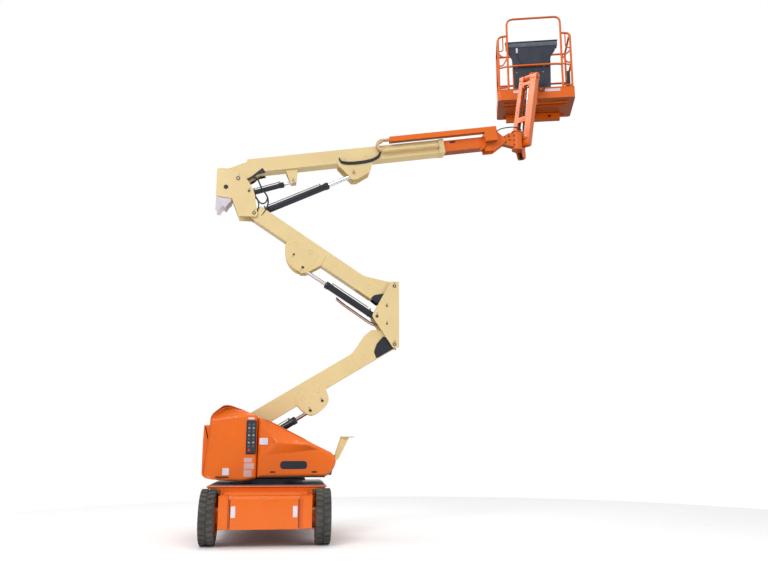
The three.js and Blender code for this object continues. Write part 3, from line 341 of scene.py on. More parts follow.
# %% Rounded lines
def rounded(points, radius, steps=5, closed=True):
    """Replaces each corner p by (1-s)^2 a + 2s(1-s) p + s^2 b, with a and b set back along its sides."""
    points = np.asarray(points, float)
    before, after = np.roll(points, 1, axis=0), np.roll(points, -1, axis=0)
    to_a, to_b = before - points, after - points
    long_a = np.linalg.norm(to_a, axis=1, keepdims=True)
    long_b = np.linalg.norm(to_b, axis=1, keepdims=True)
    back = np.minimum(np.broadcast_to(np.reshape(radius, (-1, 1)), long_a.shape),
                      0.48 * np.minimum(long_a, long_b))
    s = np.linspace(0, 1, steps)[None, :, None]
    a = (points + to_a / long_a * back)[:, None]
    b = (points + to_b / long_b * back)[:, None]
    curve = (1 - s) ** 2 * a + 2 * s * (1 - s) * points[:, None] + s**2 * b
    if closed:
        return curve.reshape(-1, points.shape[1])
    inner = curve[1:-1].reshape(-1, points.shape[1])
    return np.vstack([points[:1], inner, points[-1:]])


def evenly(outline, pitch):
    """Divides each side of a closed outline into equal steps no longer than pitch."""
    side = np.roll(outline, -1, axis=0) - outline
    count = np.maximum(1, np.ceil(np.linalg.norm(side, axis=1) / pitch)).astype(int)
    which = np.repeat(np.arange(len(outline)), count)
    share = (np.arange(count.sum()) - np.repeat(np.cumsum(count) - count, count)) / count[which]
    return outline[which] + side[which] * share[:, None]


def shrunk(outline, d):
    """Moves each point of a closed outline inwards along the mean of its two side normals."""
    side = np.roll(outline, -1, axis=0) - outline
    side /= np.linalg.norm(side, axis=1, keepdims=True) + 1e-12
    normal = np.stack([-side[:, 1], side[:, 0]], axis=1)
    mean = normal + np.roll(normal, 1, axis=0)
    mean /= np.maximum(np.linalg.norm(mean, axis=1, keepdims=True), 0.3)
    x, z = outline.T
    turn = np.sign(np.sum(x * np.roll(z, -1) - np.roll(x, -1) * z))
    return outline + mean * d * turn


def plate(name, place, outline, y0, y1, material, body, corner=12, edge=2.5, axes="xzy"):
    """A plate cut to an outline, its rims eased by rings set back by edge. axes says which local
    directions the outline's two numbers and the thickness run along."""
    shape = rounded(outline, corner)
    sign = 1 if y1 > y0 else -1
    quarter = np.radians(np.linspace(0, 90, 2 if edge < 6 else 6))
    rise, back_by = edge * (1 - np.cos(quarter)), edge * (1 - np.sin(quarter))
    levels = [(y0 + sign * r, b) for r, b in zip(rise, back_by)]
    levels += [(y1 - sign * r, b) for r, b in zip(rise[::-1], back_by[::-1])]
    columns = {}
    rings = []
    for level, back in levels:
        ring = shrunk(shape, back)
        columns = {axes[0]: ring[:, 0], axes[1]: ring[:, 1], axes[2]: np.full(len(ring), float(level))}
        rings.append(place.at(np.stack([columns["x"], columns["y"], columns["z"]], axis=1)))
    return loft(name, rings, material, body)


def turned(name, place, start, along, profile, material, body, steps=32):
    """A lathe piece: profile is (distance, radius) pairs along a line from start."""
    along = np.asarray(along, float) / np.linalg.norm(along)
    helper = [0, 0, 1] if abs(along[2]) < 0.9 else [1, 0, 0]
    u = np.cross(along, helper)
    u /= np.linalg.norm(u)
    v = np.cross(along, u)
    angle = np.linspace(0, 2 * math.pi, steps, endpoint=False)
    circle = np.cos(angle)[:, None] * u + np.sin(angle)[:, None] * v
    d, r = np.asarray(profile, float).T
    rings = np.asarray(start, float) + d[:, None, None] * along + r[:, None, None] * circle
    return loft(name, place.at(rings), material, body)


def bent_tube(name, place, points, r, material, body, bend=60, steps=12, closed=False):
    """A round tube: a circle carried along a line with rounded corners, held level to the line's own plane."""
    path = rounded(points, bend, 7, closed)
    run = np.gradient(path, axis=0) if not closed else np.roll(path, -1, axis=0) - np.roll(path, 1, axis=0)
    run /= np.linalg.norm(run, axis=1, keepdims=True)
    flat = np.linalg.svd(path - path.mean(axis=0))[2][2]
    if np.abs(run @ flat).max() > 0.9:
        flat = np.linalg.svd(run)[2][2]
    u = np.cross(run, flat)
    u /= np.linalg.norm(u, axis=1, keepdims=True)
    v = np.cross(run, u)
    angle = np.linspace(0, 2 * math.pi, steps, endpoint=False)
    rings = path[:, None] + r * (np.cos(angle)[None, :, None] * u[:, None] + np.sin(angle)[None, :,
          None] * v[:, None])
    return loft(name, place.at(rings), material, body, looped=closed)


# %% [markdown]
# The CAD pieces keep their shape and get their finishes. A weld and a narrow bevel ease the edges
# of the plates, as a grinder does before painting, so that each edge catches a line of light.

# %% Finishes and eased edges on the CAD pieces
FINISH = {
    "orange_paint": orange_enamel, "cream_paint": cream_enamel, "black_paint": black_enamel,
    "chrome": chrome_plate, "steel": zinc_plate, "tread_plate": chequer_plate, "tyre": tyre_rubber,
    "console_plastic": slate_plastic, "track_plastic": track_nylon,
}
slots = {part["node"]: part["material_slot"] for part in frame["record"]["subparts"]}
for name, piece in nodes.items():
    for place_in in piece.material_slots:
        place_in.link = "OBJECT"
        place_in.material = FINISH[slots[name]]
EASED = ["chassis_frame", "rear_battery_cover", "front_battery_cover", "counterweight", "boom_rest",
         "track_tray", "track_carrier", "platform_floor", "platform_support", "jib_swivel", "tower_knuckle",
         "tower_upright", "boom_head", "platform_mount", "lower_boom", "mid_boom", "main_boom", "fly_boom",
         "jib_frame"]
for name in EASED:
    weld = nodes[name].modifiers.new("weld", "WELD")
    weld.merge_threshold = 1e-5
    ease = nodes[name].modifiers.new("eased_edges", "BEVEL")
    ease.width = 0.003
    ease.segments = 2
    ease.limit_method = "ANGLE"
    ease.angle_limit = math.radians(50)
    ease.harden_normals = False
    ease.use_clamp_overlap = True

# %% [markdown]
# Each tyre is one skin: going round it and across it are the two parameters, and bars of tread
# rise from the carcass in two rows, the bars of one row facing the gaps of the other.

# %% Tyres
TYRE_R, TYRE_HALF, RIM_R = 317.5, 89.0, 209.7
LUGS, LUG_RISE = 26, 15.0


def soft_step(x):
    x = np.clip(x, 0, 1)
    return x * x * (3 - 2 * x)


def tyre(name, place, body):
    """Radius = carcass profile + lug height. A lug is where the wave cos(LUGS * angle), shifted by half
    a turn between the two rows, is above a threshold, eased by a soft step."""
    round_steps, across_steps = 312, 34
    angle = np.linspace(0, 2 * math.pi, round_steps, endpoint=False)[:, None]
    side = np.linspace(-1, 1, across_steps)[None, :]
    shoulder = np.clip((np.abs(side) - 0.86) / 0.14, 0, 1)
    carcass = TYRE_R - LUG_RISE - 16 * shoulder**2
    wave = np.cos(LUGS * angle + np.where(side > 0, math.pi, 0) + 1.4 * np.abs(side))
    lug = soft_step((wave + 0.42) / 0.22) * soft_step((np.abs(side) - 0.03) / 0.05)
    radius = carcass + LUG_RISE * lug * (1 - 0.5 * shoulder)
    x = TYRE_HALF * side + 0 * angle
    y, z = radius * np.cos(angle), radius * np.sin(angle)
    tread = np.stack([x, y, z], axis=-1).transpose(1, 0, 2)
    wall = [(0.97, 0.93), (0.93, 0.84), (0.90, 0.72), (0.88, 0.665)]

    def rim_rings(sign):
        r = np.array([w[1] for w in wall])[:, None] * TYRE_R
        x_at = np.array([w[0] for w in wall])[:, None] * TYRE_HALF * sign
        a = angle[:, 0][None, :]
        return np.stack([x_at + 0 * a, r * np.cos(a), r * np.sin(a)], axis=-1)

    seat = RIM_R + 0.6
    a = angle[:, 0][None, :]
    inner = [np.stack([np.full_like(a, x_at), seat * np.cos(a), seat * np.sin(a)], axis=-1) for x_at in (70.0,
          -70.0)]
    rings = np.vstack([rim_rings(-1)[::-1], tread, rim_rings(1), inner[0], inner[1]])
    return loft(name, place.at(rings), tyre_rubber, body, ends=False, looped=True)


def rim(name, place, body, outward):
    s = outward
    dish = [(60 * s, 60), (60 * s, 190), (84 * s, 203), (86 * s, 208), (74 * s, 209), (-74 * s, 209),
            (-86 * s, 208),
            (-84 * s, 203), (-70 * s, 196), (2 * s, 190), (-6 * s, 150), (-6 * s, 90), (-58 * s, 88),
            (-58 * s, 0)]
    face = [(66 * s, 0), (66 * s, 52)]
    parts = [turned(name, place, [0, 0, 0], [1, 0, 0], face + dish, orange_enamel, body, 48)]
    hub = [(20 * s, 0), (20 * s, 72), (76 * s, 70), (80 * s, 64), (80 * s, 0)]
    parts.append(turned(name + "_hub", place, [0, 0, 0], [1, 0, 0], hub, orange_enamel, body, 32))
    for k in range(8):
        a = 2 * math.pi * k / 8
        start = [58 * s, 122 * math.cos(a), 122 * math.sin(a)]
        nut = [(0, 0), (0, 15), (14, 15), (16, 12), (24, 11), (24, 0)]
        parts.append(turned(name + "_nut", place, start, [s, 0, 0], nut, zinc_plate, body, 6))
    return parts


WHEELS = {"rear_left": ("rear_left_spin", -1), "rear_right": ("rear_right_spin", 1),
          "front_left": ("front_left_spin", -1), "front_right": ("front_right_spin", 1)}
for where_is, (spin, s) in WHEELS.items():
    hub_place = standing(spin)
    body = "wheel_" + where_is
    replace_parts(tyre("tread_" + where_is, hub_place, body), "tyre_" + where_is)
    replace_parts(rim("wheel_disc_" + where_is, hub_place, body, s)[0], "rim_" + where_is)
print("four tyres,", LUGS * 2, "bars each")

# %% [markdown]
# The covers over the turntable are moulded skins. Looking square on, each has a fixed outline;
# its side face bulges, dips or slopes with place. The rings run from the open inner rim, round the
# soft top edge, and close in on the middle of the side face.

# %% Cowls and hoods
COVER_HALF = 560.0


def drawn_in(outline, d):
    """Moves a star-shaped outline inwards by d without folding. With h the distance from the middle m to
    the tangent at p, the point goes to p - (p - m) * d / h, and the ratio is averaged along the rim."""
    middle = outline.mean(axis=0)
    ray = outline - middle
    side = np.roll(outline, -1, axis=0) - np.roll(outline, 1, axis=0)
    side /= np.linalg.norm(side, axis=1, keepdims=True) + 1e-12
    h = np.abs(ray[:, 0] * side[:, 1] - ray[:, 1] * side[:, 0])
    ratio = d / np.maximum(h, 2 * d + 1)
    ratio = np.mean([np.roll(ratio, k) for k in range(-3, 4)], axis=0)
    return outline - ray * ratio[:, None]


COVER_SKIN_M = 0.008
ROUND_STEPS, FACE_RINGS = 8, 30


def moulded_cover(name, body, side, outline, inner, roof_edge, depth, corner):
    """Rings: the outline at the inner rim, then a quarter round of radius roof_edge, then outlines
    shrinking to the middle. depth(x, z) is how far the side face is set in or out there."""
    shape = evenly(rounded(outline, corner, 9), 18)
    middle = shape.mean(axis=0)
    rings = [(shape, inner, 0.0), (shape, COVER_HALF - roof_edge, 0.0)]
    for k in range(1, ROUND_STEPS + 1):
        a = math.radians(90 * k / ROUND_STEPS)
        rings.append((drawn_in(shape, roof_edge * (1 - math.cos(a))),
                      COVER_HALF - roof_edge * (1 - math.sin(a)), math.sin(a)))
    rim_shape = drawn_in(shape, roof_edge)
    for share in np.linspace(0, 1, FACE_RINGS)[1:]:
        rings.append((rim_shape + (middle - rim_shape) * min(share, 0.995), COVER_HALF, 1.0))
    points = []
    for ring, y, weight in rings:
        set_in = depth(ring[:, 0], ring[:, 1]) * weight
        points.append(machine.at(np.stack([ring[:, 0], side * (y - set_in), ring[:, 1]], axis=1)))
    skin = loft(name, points, orange_enamel, body, ends=False)
    wall = skin.modifiers.new("wall", "SOLIDIFY")
    wall.thickness, wall.offset = COVER_SKIN_M, -1
    return skin


COWL = [(-148, 729), (-148, 1491), (-243, 1532), (-502, 1622), (-577, 1622), (-728, 1500), (-731, 1370),
        (-800, 826),
        (-787, 748), (-602, 706), (-305, 690)]
HOOD = [(727, 745), (818, 856), (846, 952), (796, 1035), (606, 1126), (26, 1416), (-140, 1485), (-140, 735)]


def cowl_depth(x, z):
    """Set in above a crease near the roof, and behind an upright crease at x = -416."""
    crease = np.interp(x, [-731, -416, -148], [1440, 1478, 1500])
    return 0.75 * np.clip(z - crease, 0, None) + 0.2 * np.clip(-416 - x, 0, None)


def hood_depth(x, z):
    """Zero on the flat panel; from the foot line it swells out to the ridge line, and above the ridge it
    leans back towards the roof. Left of a bent line it stays flat, so that line shows as a facet."""
    foot = np.interp(x, [-94, 684, 850], [1002, 1087, 1060])
    ridge = np.interp(x, [36, 608, 700, 850], [1160, 1136, 1105, 1075])
    roof = np.interp(x, [-140, 26, 606, 800], [1489, 1420, 1128, 1035])
    under = np.clip((z - foot) / np.maximum(ridge - foot, 12), 0, 1)
    lean = np.clip((z - ridge) / np.maximum(roof - ridge, 60), 0, 1)
    start = np.interp(z, [1002, 1160, 1480], [-94, 36, -130])
    inside = soft_step((x - start) / 70) * soft_step((900 - x) / 240)
    return (-44 * under + 118 * lean) * inside


CORNERS = [20, 30, 60, 60, 40, 60, 30, 120, 110, 120, 200]
for name, side in [("near", -1), ("far", 1)]:
    cowl = moulded_cover("cowl_skin_" + name, "turntable", side, COWL, 165, 46, cowl_depth, CORNERS)
    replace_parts(cowl, "cowl_" + name)
    corner = [90, 60, 70, 90, 200, 140, 24, 24]
    hood = moulded_cover("hood_skin_" + name, "hood_" + name, side, HOOD, 200, 54, hood_depth, corner)
    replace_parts(hood, "hood_" + name)

tail = plate("tail_cover", machine, [(-640, 744), (-640, 1384), (-822, 1384), (-828, 1200), (-828, 744)], -400,
             400,
             orange_enamel, "turntable", [4, 4, 14, 4, 56], 26)
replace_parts(tail, "counterweight")

# %% [markdown]
# On the near cowl sits the ground control panel: a black plate with a bezel, two rows of rocker
# switches under rubber boots and a red stop button. Blank films mark where notices are stuck.

# %% Ground controls and blank films
panel_y = -COVER_HALF - 2
panel_outline = [(-283, 1023), (-159, 1023), (-159, 1438), (-283, 1438)]
board = plate("control_board", machine, panel_outline, panel_y + 6, panel_y - 6, black_enamel, "turntable", 14,
              2)
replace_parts(board, "ground_control_panel")
plate("control_bezel", machine, [(-271, 1037), (-171, 1037), (-171, 1424), (-271, 1424)], panel_y - 5,
      panel_y - 9,
      slate_plastic, "turntable", 8, 1.5)
for row in range(7):
    for x in (-248, -194):
        z = 1120 + row * 44
        turned(f"switch_{row}_{-x}", machine, [x, panel_y - 8, z], [0, -1, 0],
               [(0, 0), (0, 13), (4, 13), (6, 7), (17, 5), (19, 0)], zinc_plate if row % 2 else light_slate,
               "turntable", 14)
red_button = enamel("red_button_plastic", "#B3241B", "#A01F18", 0.35)
turned("stop_button", machine, [-240, panel_y - 8, 1068], [0, -1, 0],
       [(0, 0), (0, 12), (12, 12), (13, 20), (20, 20), (24, 14), (25, 0)], red_button, "turntable", 24)


def film(name, place, x0, x1, z0, z1, y, material, body):
    """A thin blank film, half a millimetre thick."""
    box = [(x0, z0), (x1, z0), (x1, z1), (x0, z1)]
    return plate(name, place, box, y, y - 0.6, material, body, min(8, (z1 - z0) / 4), 0.2)


face = -COVER_HALF - 0.6
film("film_panel_side", machine, -118, -14, 1140, 1222, face - 7, white_film, "hood_near")
film("film_row_a", machine, -300, -200, 925, 980, face, pink_film, "turntable")
film("film_row_b", machine, -300, -175, 845, 915, face, pink_film, "turntable")
film("film_row_c", machine, -300, -200, 752, 835, face, pink_film, "turntable")
corner_x = np.linspace(-560, -480, 6)
corner_rows = [np.stack([corner_x, face + cowl_depth(corner_x, np.full(6, z)), np.full(6, z)],
                        axis=1) for z in (772, 800, 830, 856)]
corner_faces = [[r * 6 + c, r * 6 + c + 1, r * 6 + c + 7, r * 6 + c + 6] for r in range(3) for c in range(5)]
finish_mesh("film_corner", machine.at(np.concatenate(corner_rows)), corner_faces, white_film, "turntable")
film("film_top", machine, -265, -190, 1450, 1474, face, white_film, "turntable")

# %% [markdown]
# The hood carries a blank oval name plate and two pull slots. The slots are pockets let into the
# skin; each is drawn as a thin black plate on the skin, painted shade for the pocket's dark inside.

# %% Hood details
flat_face = -COVER_HALF - 1
oval = [(151, 850), (471, 850), (471, 934), (151, 934)]
plate("blank_oval_plate", machine, oval, flat_face + 2, flat_face - 3, black_enamel, "hood_near", 42, 1.5)
plate("oval_rim", machine, [(143, 842), (479, 842), (479, 942), (143, 942)], flat_face + 2, flat_face - 1,
      slate_plastic, "hood_near", 50, 1)
for x in (53, 567):
    slot_box = [(x - 34, 798), (x + 34, 798), (x + 34, 818), (x - 34, 818)]
    plate(f"pull_slot_{x}", machine, slot_box, flat_face + 2, flat_face - 1.5, black_enamel, "hood_near", 10, 1)

# %% [markdown]
# A cylinder is a black honed barrel with a screwed gland, port bosses and a welded eye at its base;
# the chromed rod ends in a bored eye. Both are lathe pieces on the CAD cylinder's own line.


# %% Hydraulic cylinders
ROD_KEPT_IN = 60  # of the shaft, inside the barrel at full stroke


def cylinder(name, carrier_turn, slide, r, rod_r, barrel, stroke_out):
    """The barrel's profile runs base, body, weld ring, gland; the rod's runs bright shaft and eye block.
    The shaft is long enough to stay ROD_KEPT_IN inside the barrel when it is out by stroke_out."""
    base = joints[carrier_turn]["pos_m"]
    along = np.array(joints[slide]["axis"], float)
    spot = Place(base)
    ring = [(r * 0.6, 0), (r * 0.6, r * 0.8), (r * 1.2, r), (barrel * 0.12, r), (barrel * 0.12, r + 4),
            (barrel * 0.12 + 22, r + 4), (barrel * 0.12 + 22, r), (barrel - 62, r), (barrel - 60, r + 6),
            (barrel - 10, r + 6), (barrel - 4, r + 2), (barrel, r - 4), (barrel, rod_r + 1), (barrel, 0)]
    tube = turned(name + "_tube", spot, [0, 0, 0], along, ring, black_enamel, name + "_barrel", 36)
    across = np.cross(along, [0, 0, 1])
    across /= np.linalg.norm(across)
    eye_half = r * 0.88
    eye_ring = [(0, 0), (0, r * 0.72), (3, r * 0.84), (2 * eye_half - 3, r * 0.84), (2 * eye_half, r * 0.72),
                (2 * eye_half, 0)]
    turned(name + "_base_eye", spot, -across * eye_half, across, eye_ring, black_enamel, name + "_barrel", 28)
    up = np.cross(across, along)
    for share in (0.16, 0.9):
        turned(f"{name}_port_{share}", spot, along * barrel * share + up * (r - 6), up,
               [(0, 0), (0, 15), (18, 15), (20, 11), (34, 11), (36, 0)], zinc_plate, name + "_barrel", 12)
    line = along * barrel * 0.2 + up * (r + 20)
    bent_tube(name + "_pipe", spot, [line, line + along * barrel * 0.35, line + along * barrel * 0.68], 7,
              zinc_plate, name + "_barrel", 20, 8)
    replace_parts(tube, name + "_barrel")
    eye_box = nodes[name + "_rod"].data
    corners = np.empty(len(eye_box.vertices) * 3)
    eye_box.vertices.foreach_get("co", corners)
    reach = ((corners.reshape(-1, 3) - base) @ along).max() * 1000 - rod_r * 1.35
    foot = barrel - ROD_KEPT_IN - stroke_out
    shaft = [(foot, 0), (foot, rod_r), (reach - rod_r * 2.4, rod_r),
             (reach - rod_r * 2.2, rod_r * 1.15), (reach - rod_r * 0.6, rod_r * 1.15), (reach - rod_r * 0.6, 0)]
    bright = turned(name + "_shaft", spot, [0, 0, 0], along, shaft, chrome_plate, name + "_rod", 32)
    half = r * 0.78
    knob = [(0, 0), (0, rod_r * 1.2), (2, rod_r * 1.34), (2 * half - 2, rod_r * 1.34), (2 * half, rod_r * 1.2),
            (2 * half, 0)]
    turned(name + "_rod_eye", spot, along * reach - across * half, across, knob, chrome_plate, name + "_rod",
           28)
    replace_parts(bright, name + "_rod")


CYLINDERS = [("lower_cylinder", 45, 25, 785, 127), ("mid_cylinder", 45, 25, 840, 299),
             ("lift_cylinder", 46, 28, 1135, 544),
             ("level_cylinder", 34, 18, 500, 253), ("jib_cylinder", 34, 18, 760, 240)]
for name, r, rod_r, barrel, stroke_out in CYLINDERS:
    cylinder(name, name + "_barrel_turn", name + "_rod_slide", r, rod_r, barrel, stroke_out)

# %% [markdown]
# Each hinge pin shows as a round head and the one bolt of its keeper, which stops the pin turning;
# the keeper's small flat is not drawn. Plug welds, the filled round holes that join two plates, show as shallow
# rings.


# %% Pins, bolts and plug welds
def pin(name, place, x, z, y, r, body, material=None, bolt=True):
    """A pin head that stands out of a plate at y, on the outer side."""
    s = 1 if y > 0 else -1
    head_ring = [(-2, 0), (-2, r), (5, r), (7, r - 2), (7, r * 0.45), (5, r * 0.4), (5, 0)]
    turned(name, place, [x, y, z], [0, s, 0], head_ring, material or pin_steel, body, 28)
    if bolt:
        turned(name + "_bolt", place, [x + r * 0.2, y, z + r * 1.9], [0, s, 0],
               [(-1, 0), (-1, 10), (7, 10), (8, 8), (8, 0)],
               zinc_plate, body, 6)


def plug_weld(name, place, x, z, y, body, material, r=34):
    """A raised ring of weld about 4 mm high round a filled hole."""
    s = 1 if y > 0 else -1
    bead = [(-1, r - 9), (3, r - 7), (4.5, r - 3), (3, r + 2), (-1, r + 4), (-1, r - 9)]
    turned(name, place, [x, y, z], [0, s, 0], bead, material, body, 32)


for s, side in [(-1, "near"), (1, "far")]:
    for spot, label, place, body, x, z, y, r in [
        ("b", "lower_pin", knuckle, "knuckle", 0, 0, 142, 24),
        ("t", "upper_pin", knuckle, "knuckle", 0, 807, 142, 24),
        ("c", "strut_pin", knuckle, "knuckle", -242, 380, 142, 20),
        ("d", "link_low", knuckle, "knuckle", -105, 280, 142, 14),
        ("e", "link_high", knuckle, "knuckle", -105, 526, 142, 14),
        ("f", "arm_pin", upright, "upright", 0, 0, 127, 24),
        ("g", "boom_pin", upright, "upright", -233, 493, 127, 30),
        ("h", "level_pin", upright, "upright", -78, 315, 127, 18),
        ("i", "lower_rod_pin", lower, "lower_boom", 898, -188, 105, 20),
        ("j", "lower_link_pin", lower, "lower_boom", 1098, -157, 105, 18),
        ("k", "mid_rod_pin", mid, "mid_boom", 1185, 500, 102, 20),
        ("l", "mid_link_pin", mid, "mid_boom", 1390, 420, 102, 16),
        ("m", "lift_rod_pin", main, "main_boom", 1614, -95, 112, 20),
        ("n", "level_rod_pin", main, "main_boom", 753, -99, 72, 16),
    ]:
        pin(f"{label}_{side}", place, x, z, s * y, r, body)
    for n, (place, body, x, z, y) in enumerate([
        (lower, "lower_boom", 900, 10, 105), (lower, "lower_boom", 1120, 0, 105),
        (lower, "lower_boom", 1886, 68, 93),
        (mid, "mid_boom", 1226, 268, 105), (mid, "mid_boom", 1450, 285, 105), (mid, "mid_boom", 293, 205, 93),
        (main, "main_boom", 1500, 100, 112), (main, "main_boom", 1820, 100, 112),
    ]):
        plug_weld(f"plug_weld_{n}_{side}", place, x, z, s * y, body, cream_enamel)

# %% [markdown]
# Where the two riser arms meet the knuckle their ends are painted black: a shaped inner fork of
# plate slides between the cream cheeks. It is a dark plate just outside each arm's own wall.

# %% Black forks at the knuckle
LOWER_FORK = [(2257, 174), (2127, 132), (2032, 55), (2013, -40), (2316, -42), (2330, 20)]
MID_FORK = [(174, 322), (162, 254), (52, 147), (0, 60), (-20, 120), (54, 330)]
LOWER_COLLAR = [(1742, -43), (1742, 183), (1790, 196), (2060, 318), (2150, 318), (2257, 180), (2127, 136),
                (2030, 58), (2010, -43)]
MID_COLLAR = [(430, 113), (409, 326), (176, 328), (160, 256), (50, 150), (10, 70), (60, 40), (160, 60)]
LOWER_GUSSET = [(836, 60), (792, -54), (827, -199), (888, -262), (997, -266), (1123, -243), (1190, -181),
                (1215, -60), (1200, 60)]
MID_GUSSET = [(1558, 397), (1440, 527), (1363, 569), (1249, 589), (1156, 555), (1119, 484), (1087, 386),
              (1107, 222),
              (1323, 210), (1526, 206), (1576, 270)]
# BOOM_SHADE outlines a black plate on the main boom's root: painted shade where that part of the boom lies in
# shade.
BOOM_SHADE = [(352, 125), (388, 46), (270, 31), (206, -16), (122, -48), (111, -12), (177, 12)]
for s, side in [(-1, "near"), (1, "far")]:
    for label, place, body, outline, y0, y1, finish, corner in [
        ("lower_fork", lower, "lower_boom", LOWER_FORK, 90.4, 95.5, black_enamel, 24),
        ("mid_fork", mid, "mid_boom", MID_FORK, 90.4, 95.5, black_enamel, 24),
        ("lower_collar", lower, "lower_boom", LOWER_COLLAR, 90.4, 93.4, cream_enamel, 10),
        ("mid_collar", mid, "mid_boom", MID_COLLAR, 90.4, 93.4, cream_enamel, 10),
        ("lower_gusset", lower, "lower_boom", LOWER_GUSSET, 101.5, 105, cream_enamel, 44),
        ("mid_gusset", mid, "mid_boom", MID_GUSSET, 101.5, 105, cream_enamel, 40),
        ("boom_root", main, "main_boom", BOOM_SHADE, 100.4, 104, black_enamel, 14),
    ]:
        plate(f"{label}_{side}", place, outline, s * y0, s * y1, finish, body, corner, 1.2)

# %% [markdown]
# The upright's lower rear corner carries a light grey bracket with two hooks, for the cables.

# %% Grey bracket and cross tube
hooks = [(-526, 250), (-526, 20), (-470, 20), (-462, 60), (-430, 92), (-395, 60), (-360, 120), (-318, 170),
         (-318, 245)]
for s, side in [(-1, "near"), (1, "far")]:
    plate(f"hook_bracket_{side}", upright, hooks, s * 112, s * 106, grey_primer, "upright", 14, 1.5)
    # Each black disc at the cross hole is painted shade for the dark inside of the hole.
    dark = [(-1, 0), (-1, 33), (1, 33), (1, 0)]
    turned(f"cross_hole_{side}", upright, [-395, s * 118, 361], [0, s, 0], dark, black_enamel, "upright", 28)

# %% [markdown]
# The work platform's guard rail is bent from one size of tube, 34 mm across. Each length lies in one
# plane, so it is drawn as one bent tube, and its ends run into the tubes that it is welded to.

# %% Guard rail
NEAR, FAR, SIDE, RAIL = 197.0, 893.0, -60.0, 17.0
LEFT, RIGHT = SIDE + 578, SIDE - 578
FLOOR_Z, TOE_Z, TOP_Z, MID_Z, HOOP_Z = -205.0, -50.0, 910.0, 360.0, 1205.0
HOOP_L, HOOP_R = SIDE + 430, SIDE - 430
GATE_NEAR, GATE_FAR = SIDE - 300, SIDE + 300


def rail(name, points, r=RAIL, bend=60, body="platform", place=deck, closed=False):
    return bent_tube(name, place, points, r, orange_enamel, body, bend, 14, closed)


hoop = rail("hoop", [[NEAR, HOOP_L, FLOOR_Z], [NEAR, HOOP_L, HOOP_Z], [NEAR, HOOP_R, HOOP_Z],
                     [NEAR, HOOP_R, FLOOR_Z]], bend=110)
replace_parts(hoop, "platform_rails")
for side, y, leg, out, post in [("left", LEFT, HOOP_L, 1, GATE_FAR), ("right", RIGHT, HOOP_R, -1, GATE_NEAR)]:
    rail(f"front_corner_{side}", [[NEAR, leg, TOP_Z], [NEAR, y, TOP_Z - 14], [NEAR, y, FLOOR_Z]], bend=80)
    rail(f"top_{side}", [[NEAR, y, TOP_Z - 110], [NEAR + 90, y, TOP_Z], [FAR, y, TOP_Z], [FAR, y, FLOOR_Z]],
         bend=80)
    rail(f"back_top_{side}", [[FAR, y, TOP_Z - 60], [FAR, y, TOP_Z], [FAR, post, TOP_Z], [FAR, post, FLOOR_Z]],
         bend=60)
    rail(f"mid_{side}", [[NEAR, y, MID_Z + 10], [FAR, y, MID_Z + 10]])
    rail(f"back_mid_{side}", [[FAR, y, MID_Z + 10], [FAR, post, MID_Z + 10]])
    rail(f"low_{side}", [[NEAR, y, TOE_Z + 70], [FAR, y, TOE_Z + 70]], 11)
    rail(f"brace_{side}", [[NEAR, y, MID_Z + 20], [NEAR, y - out * 70, MID_Z + 30], [NEAR, leg, MID_Z + 170]],
         12, 30)
    rail(f"waist_{side}", [[NEAR, y, MID_Z - 20], [NEAR, leg, MID_Z + 10]], 13)
    rail(f"upper_{side}", [[NEAR, leg, 535], [NEAR, y - out * 60, 535], [NEAR, y, 610]], 13, 70)
    rail(f"hand_loop_{side}", [[NEAR + 4, y - out * 78, TOP_Z - 4], [NEAR + 4, y - out * 78, 650],
                               [NEAR + 4, y, 640]], 10, 36)
    rail(f"kick_{side}", [[NEAR, leg, TOE_Z + 48], [NEAR, y, TOE_Z + 40]], 13)
rail("front_waist", [[NEAR, HOOP_L, MID_Z], [NEAR - 20, HOOP_L - 90, MID_Z], [NEAR - 20, HOOP_R + 90, MID_Z],
                     [NEAR, HOOP_R, MID_Z]], bend=40)
rail("back_kick", [[FAR, LEFT, TOE_Z + 60], [FAR, GATE_FAR, TOE_Z + 60]], 11)
rail("back_kick_right", [[FAR, RIGHT, TOE_Z + 60], [FAR, GATE_NEAR, TOE_Z + 60]], 11)

# %% [markdown]
# The gate is a closed loop of the same tube on two sleeves, with a waist bar and a latch plate.

# %% Gate
hinge_y, tip_y, gate_low, gate_high = 47.0, 558.0, -10.0, 860.0
loop = rail("gate_loop", [[0, hinge_y, gate_low], [0, tip_y, gate_low], [0, tip_y, gate_high],
                          [0, hinge_y, gate_high]],
            bend=70, body="gate", place=gate, closed=True)
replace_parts(loop, "platform_gate")
rail("gate_waist", [[0, hinge_y, MID_Z], [0, tip_y, MID_Z]], body="gate", place=gate)
for z in (gate_low + 60, gate_high - 60):
    turned(f"gate_sleeve_{z:.0f}", gate, [0, 0, z - 26], [0, 0, 1],
           [(0, 17.6), (0, 24), (3, 26), (49, 26), (52, 24), (52, 17.6), (0, 17.6)],
           orange_enamel, "gate", 24)
    plate(f"gate_tab_{z:.0f}", gate, [(-6, 20), (6, 20), (6, 42), (-6, 42)], z - 12, z + 12, orange_enamel,
          "gate", 2, 1, "xyz")
plate("gate_latch", gate, [(tip_y - 20, 700), (tip_y + 14, 700), (tip_y + 14, 760), (tip_y - 20, 760)], -9, 9,
      zinc_plate, "gate", 8, 2, "yzx")

# %% [markdown]
# The control console is a rotomoulded box. Seen square on it is a wide tray on a narrower body, and
# its rim stands proud; rounded rings give it the soft, thick look of moulded plastic.

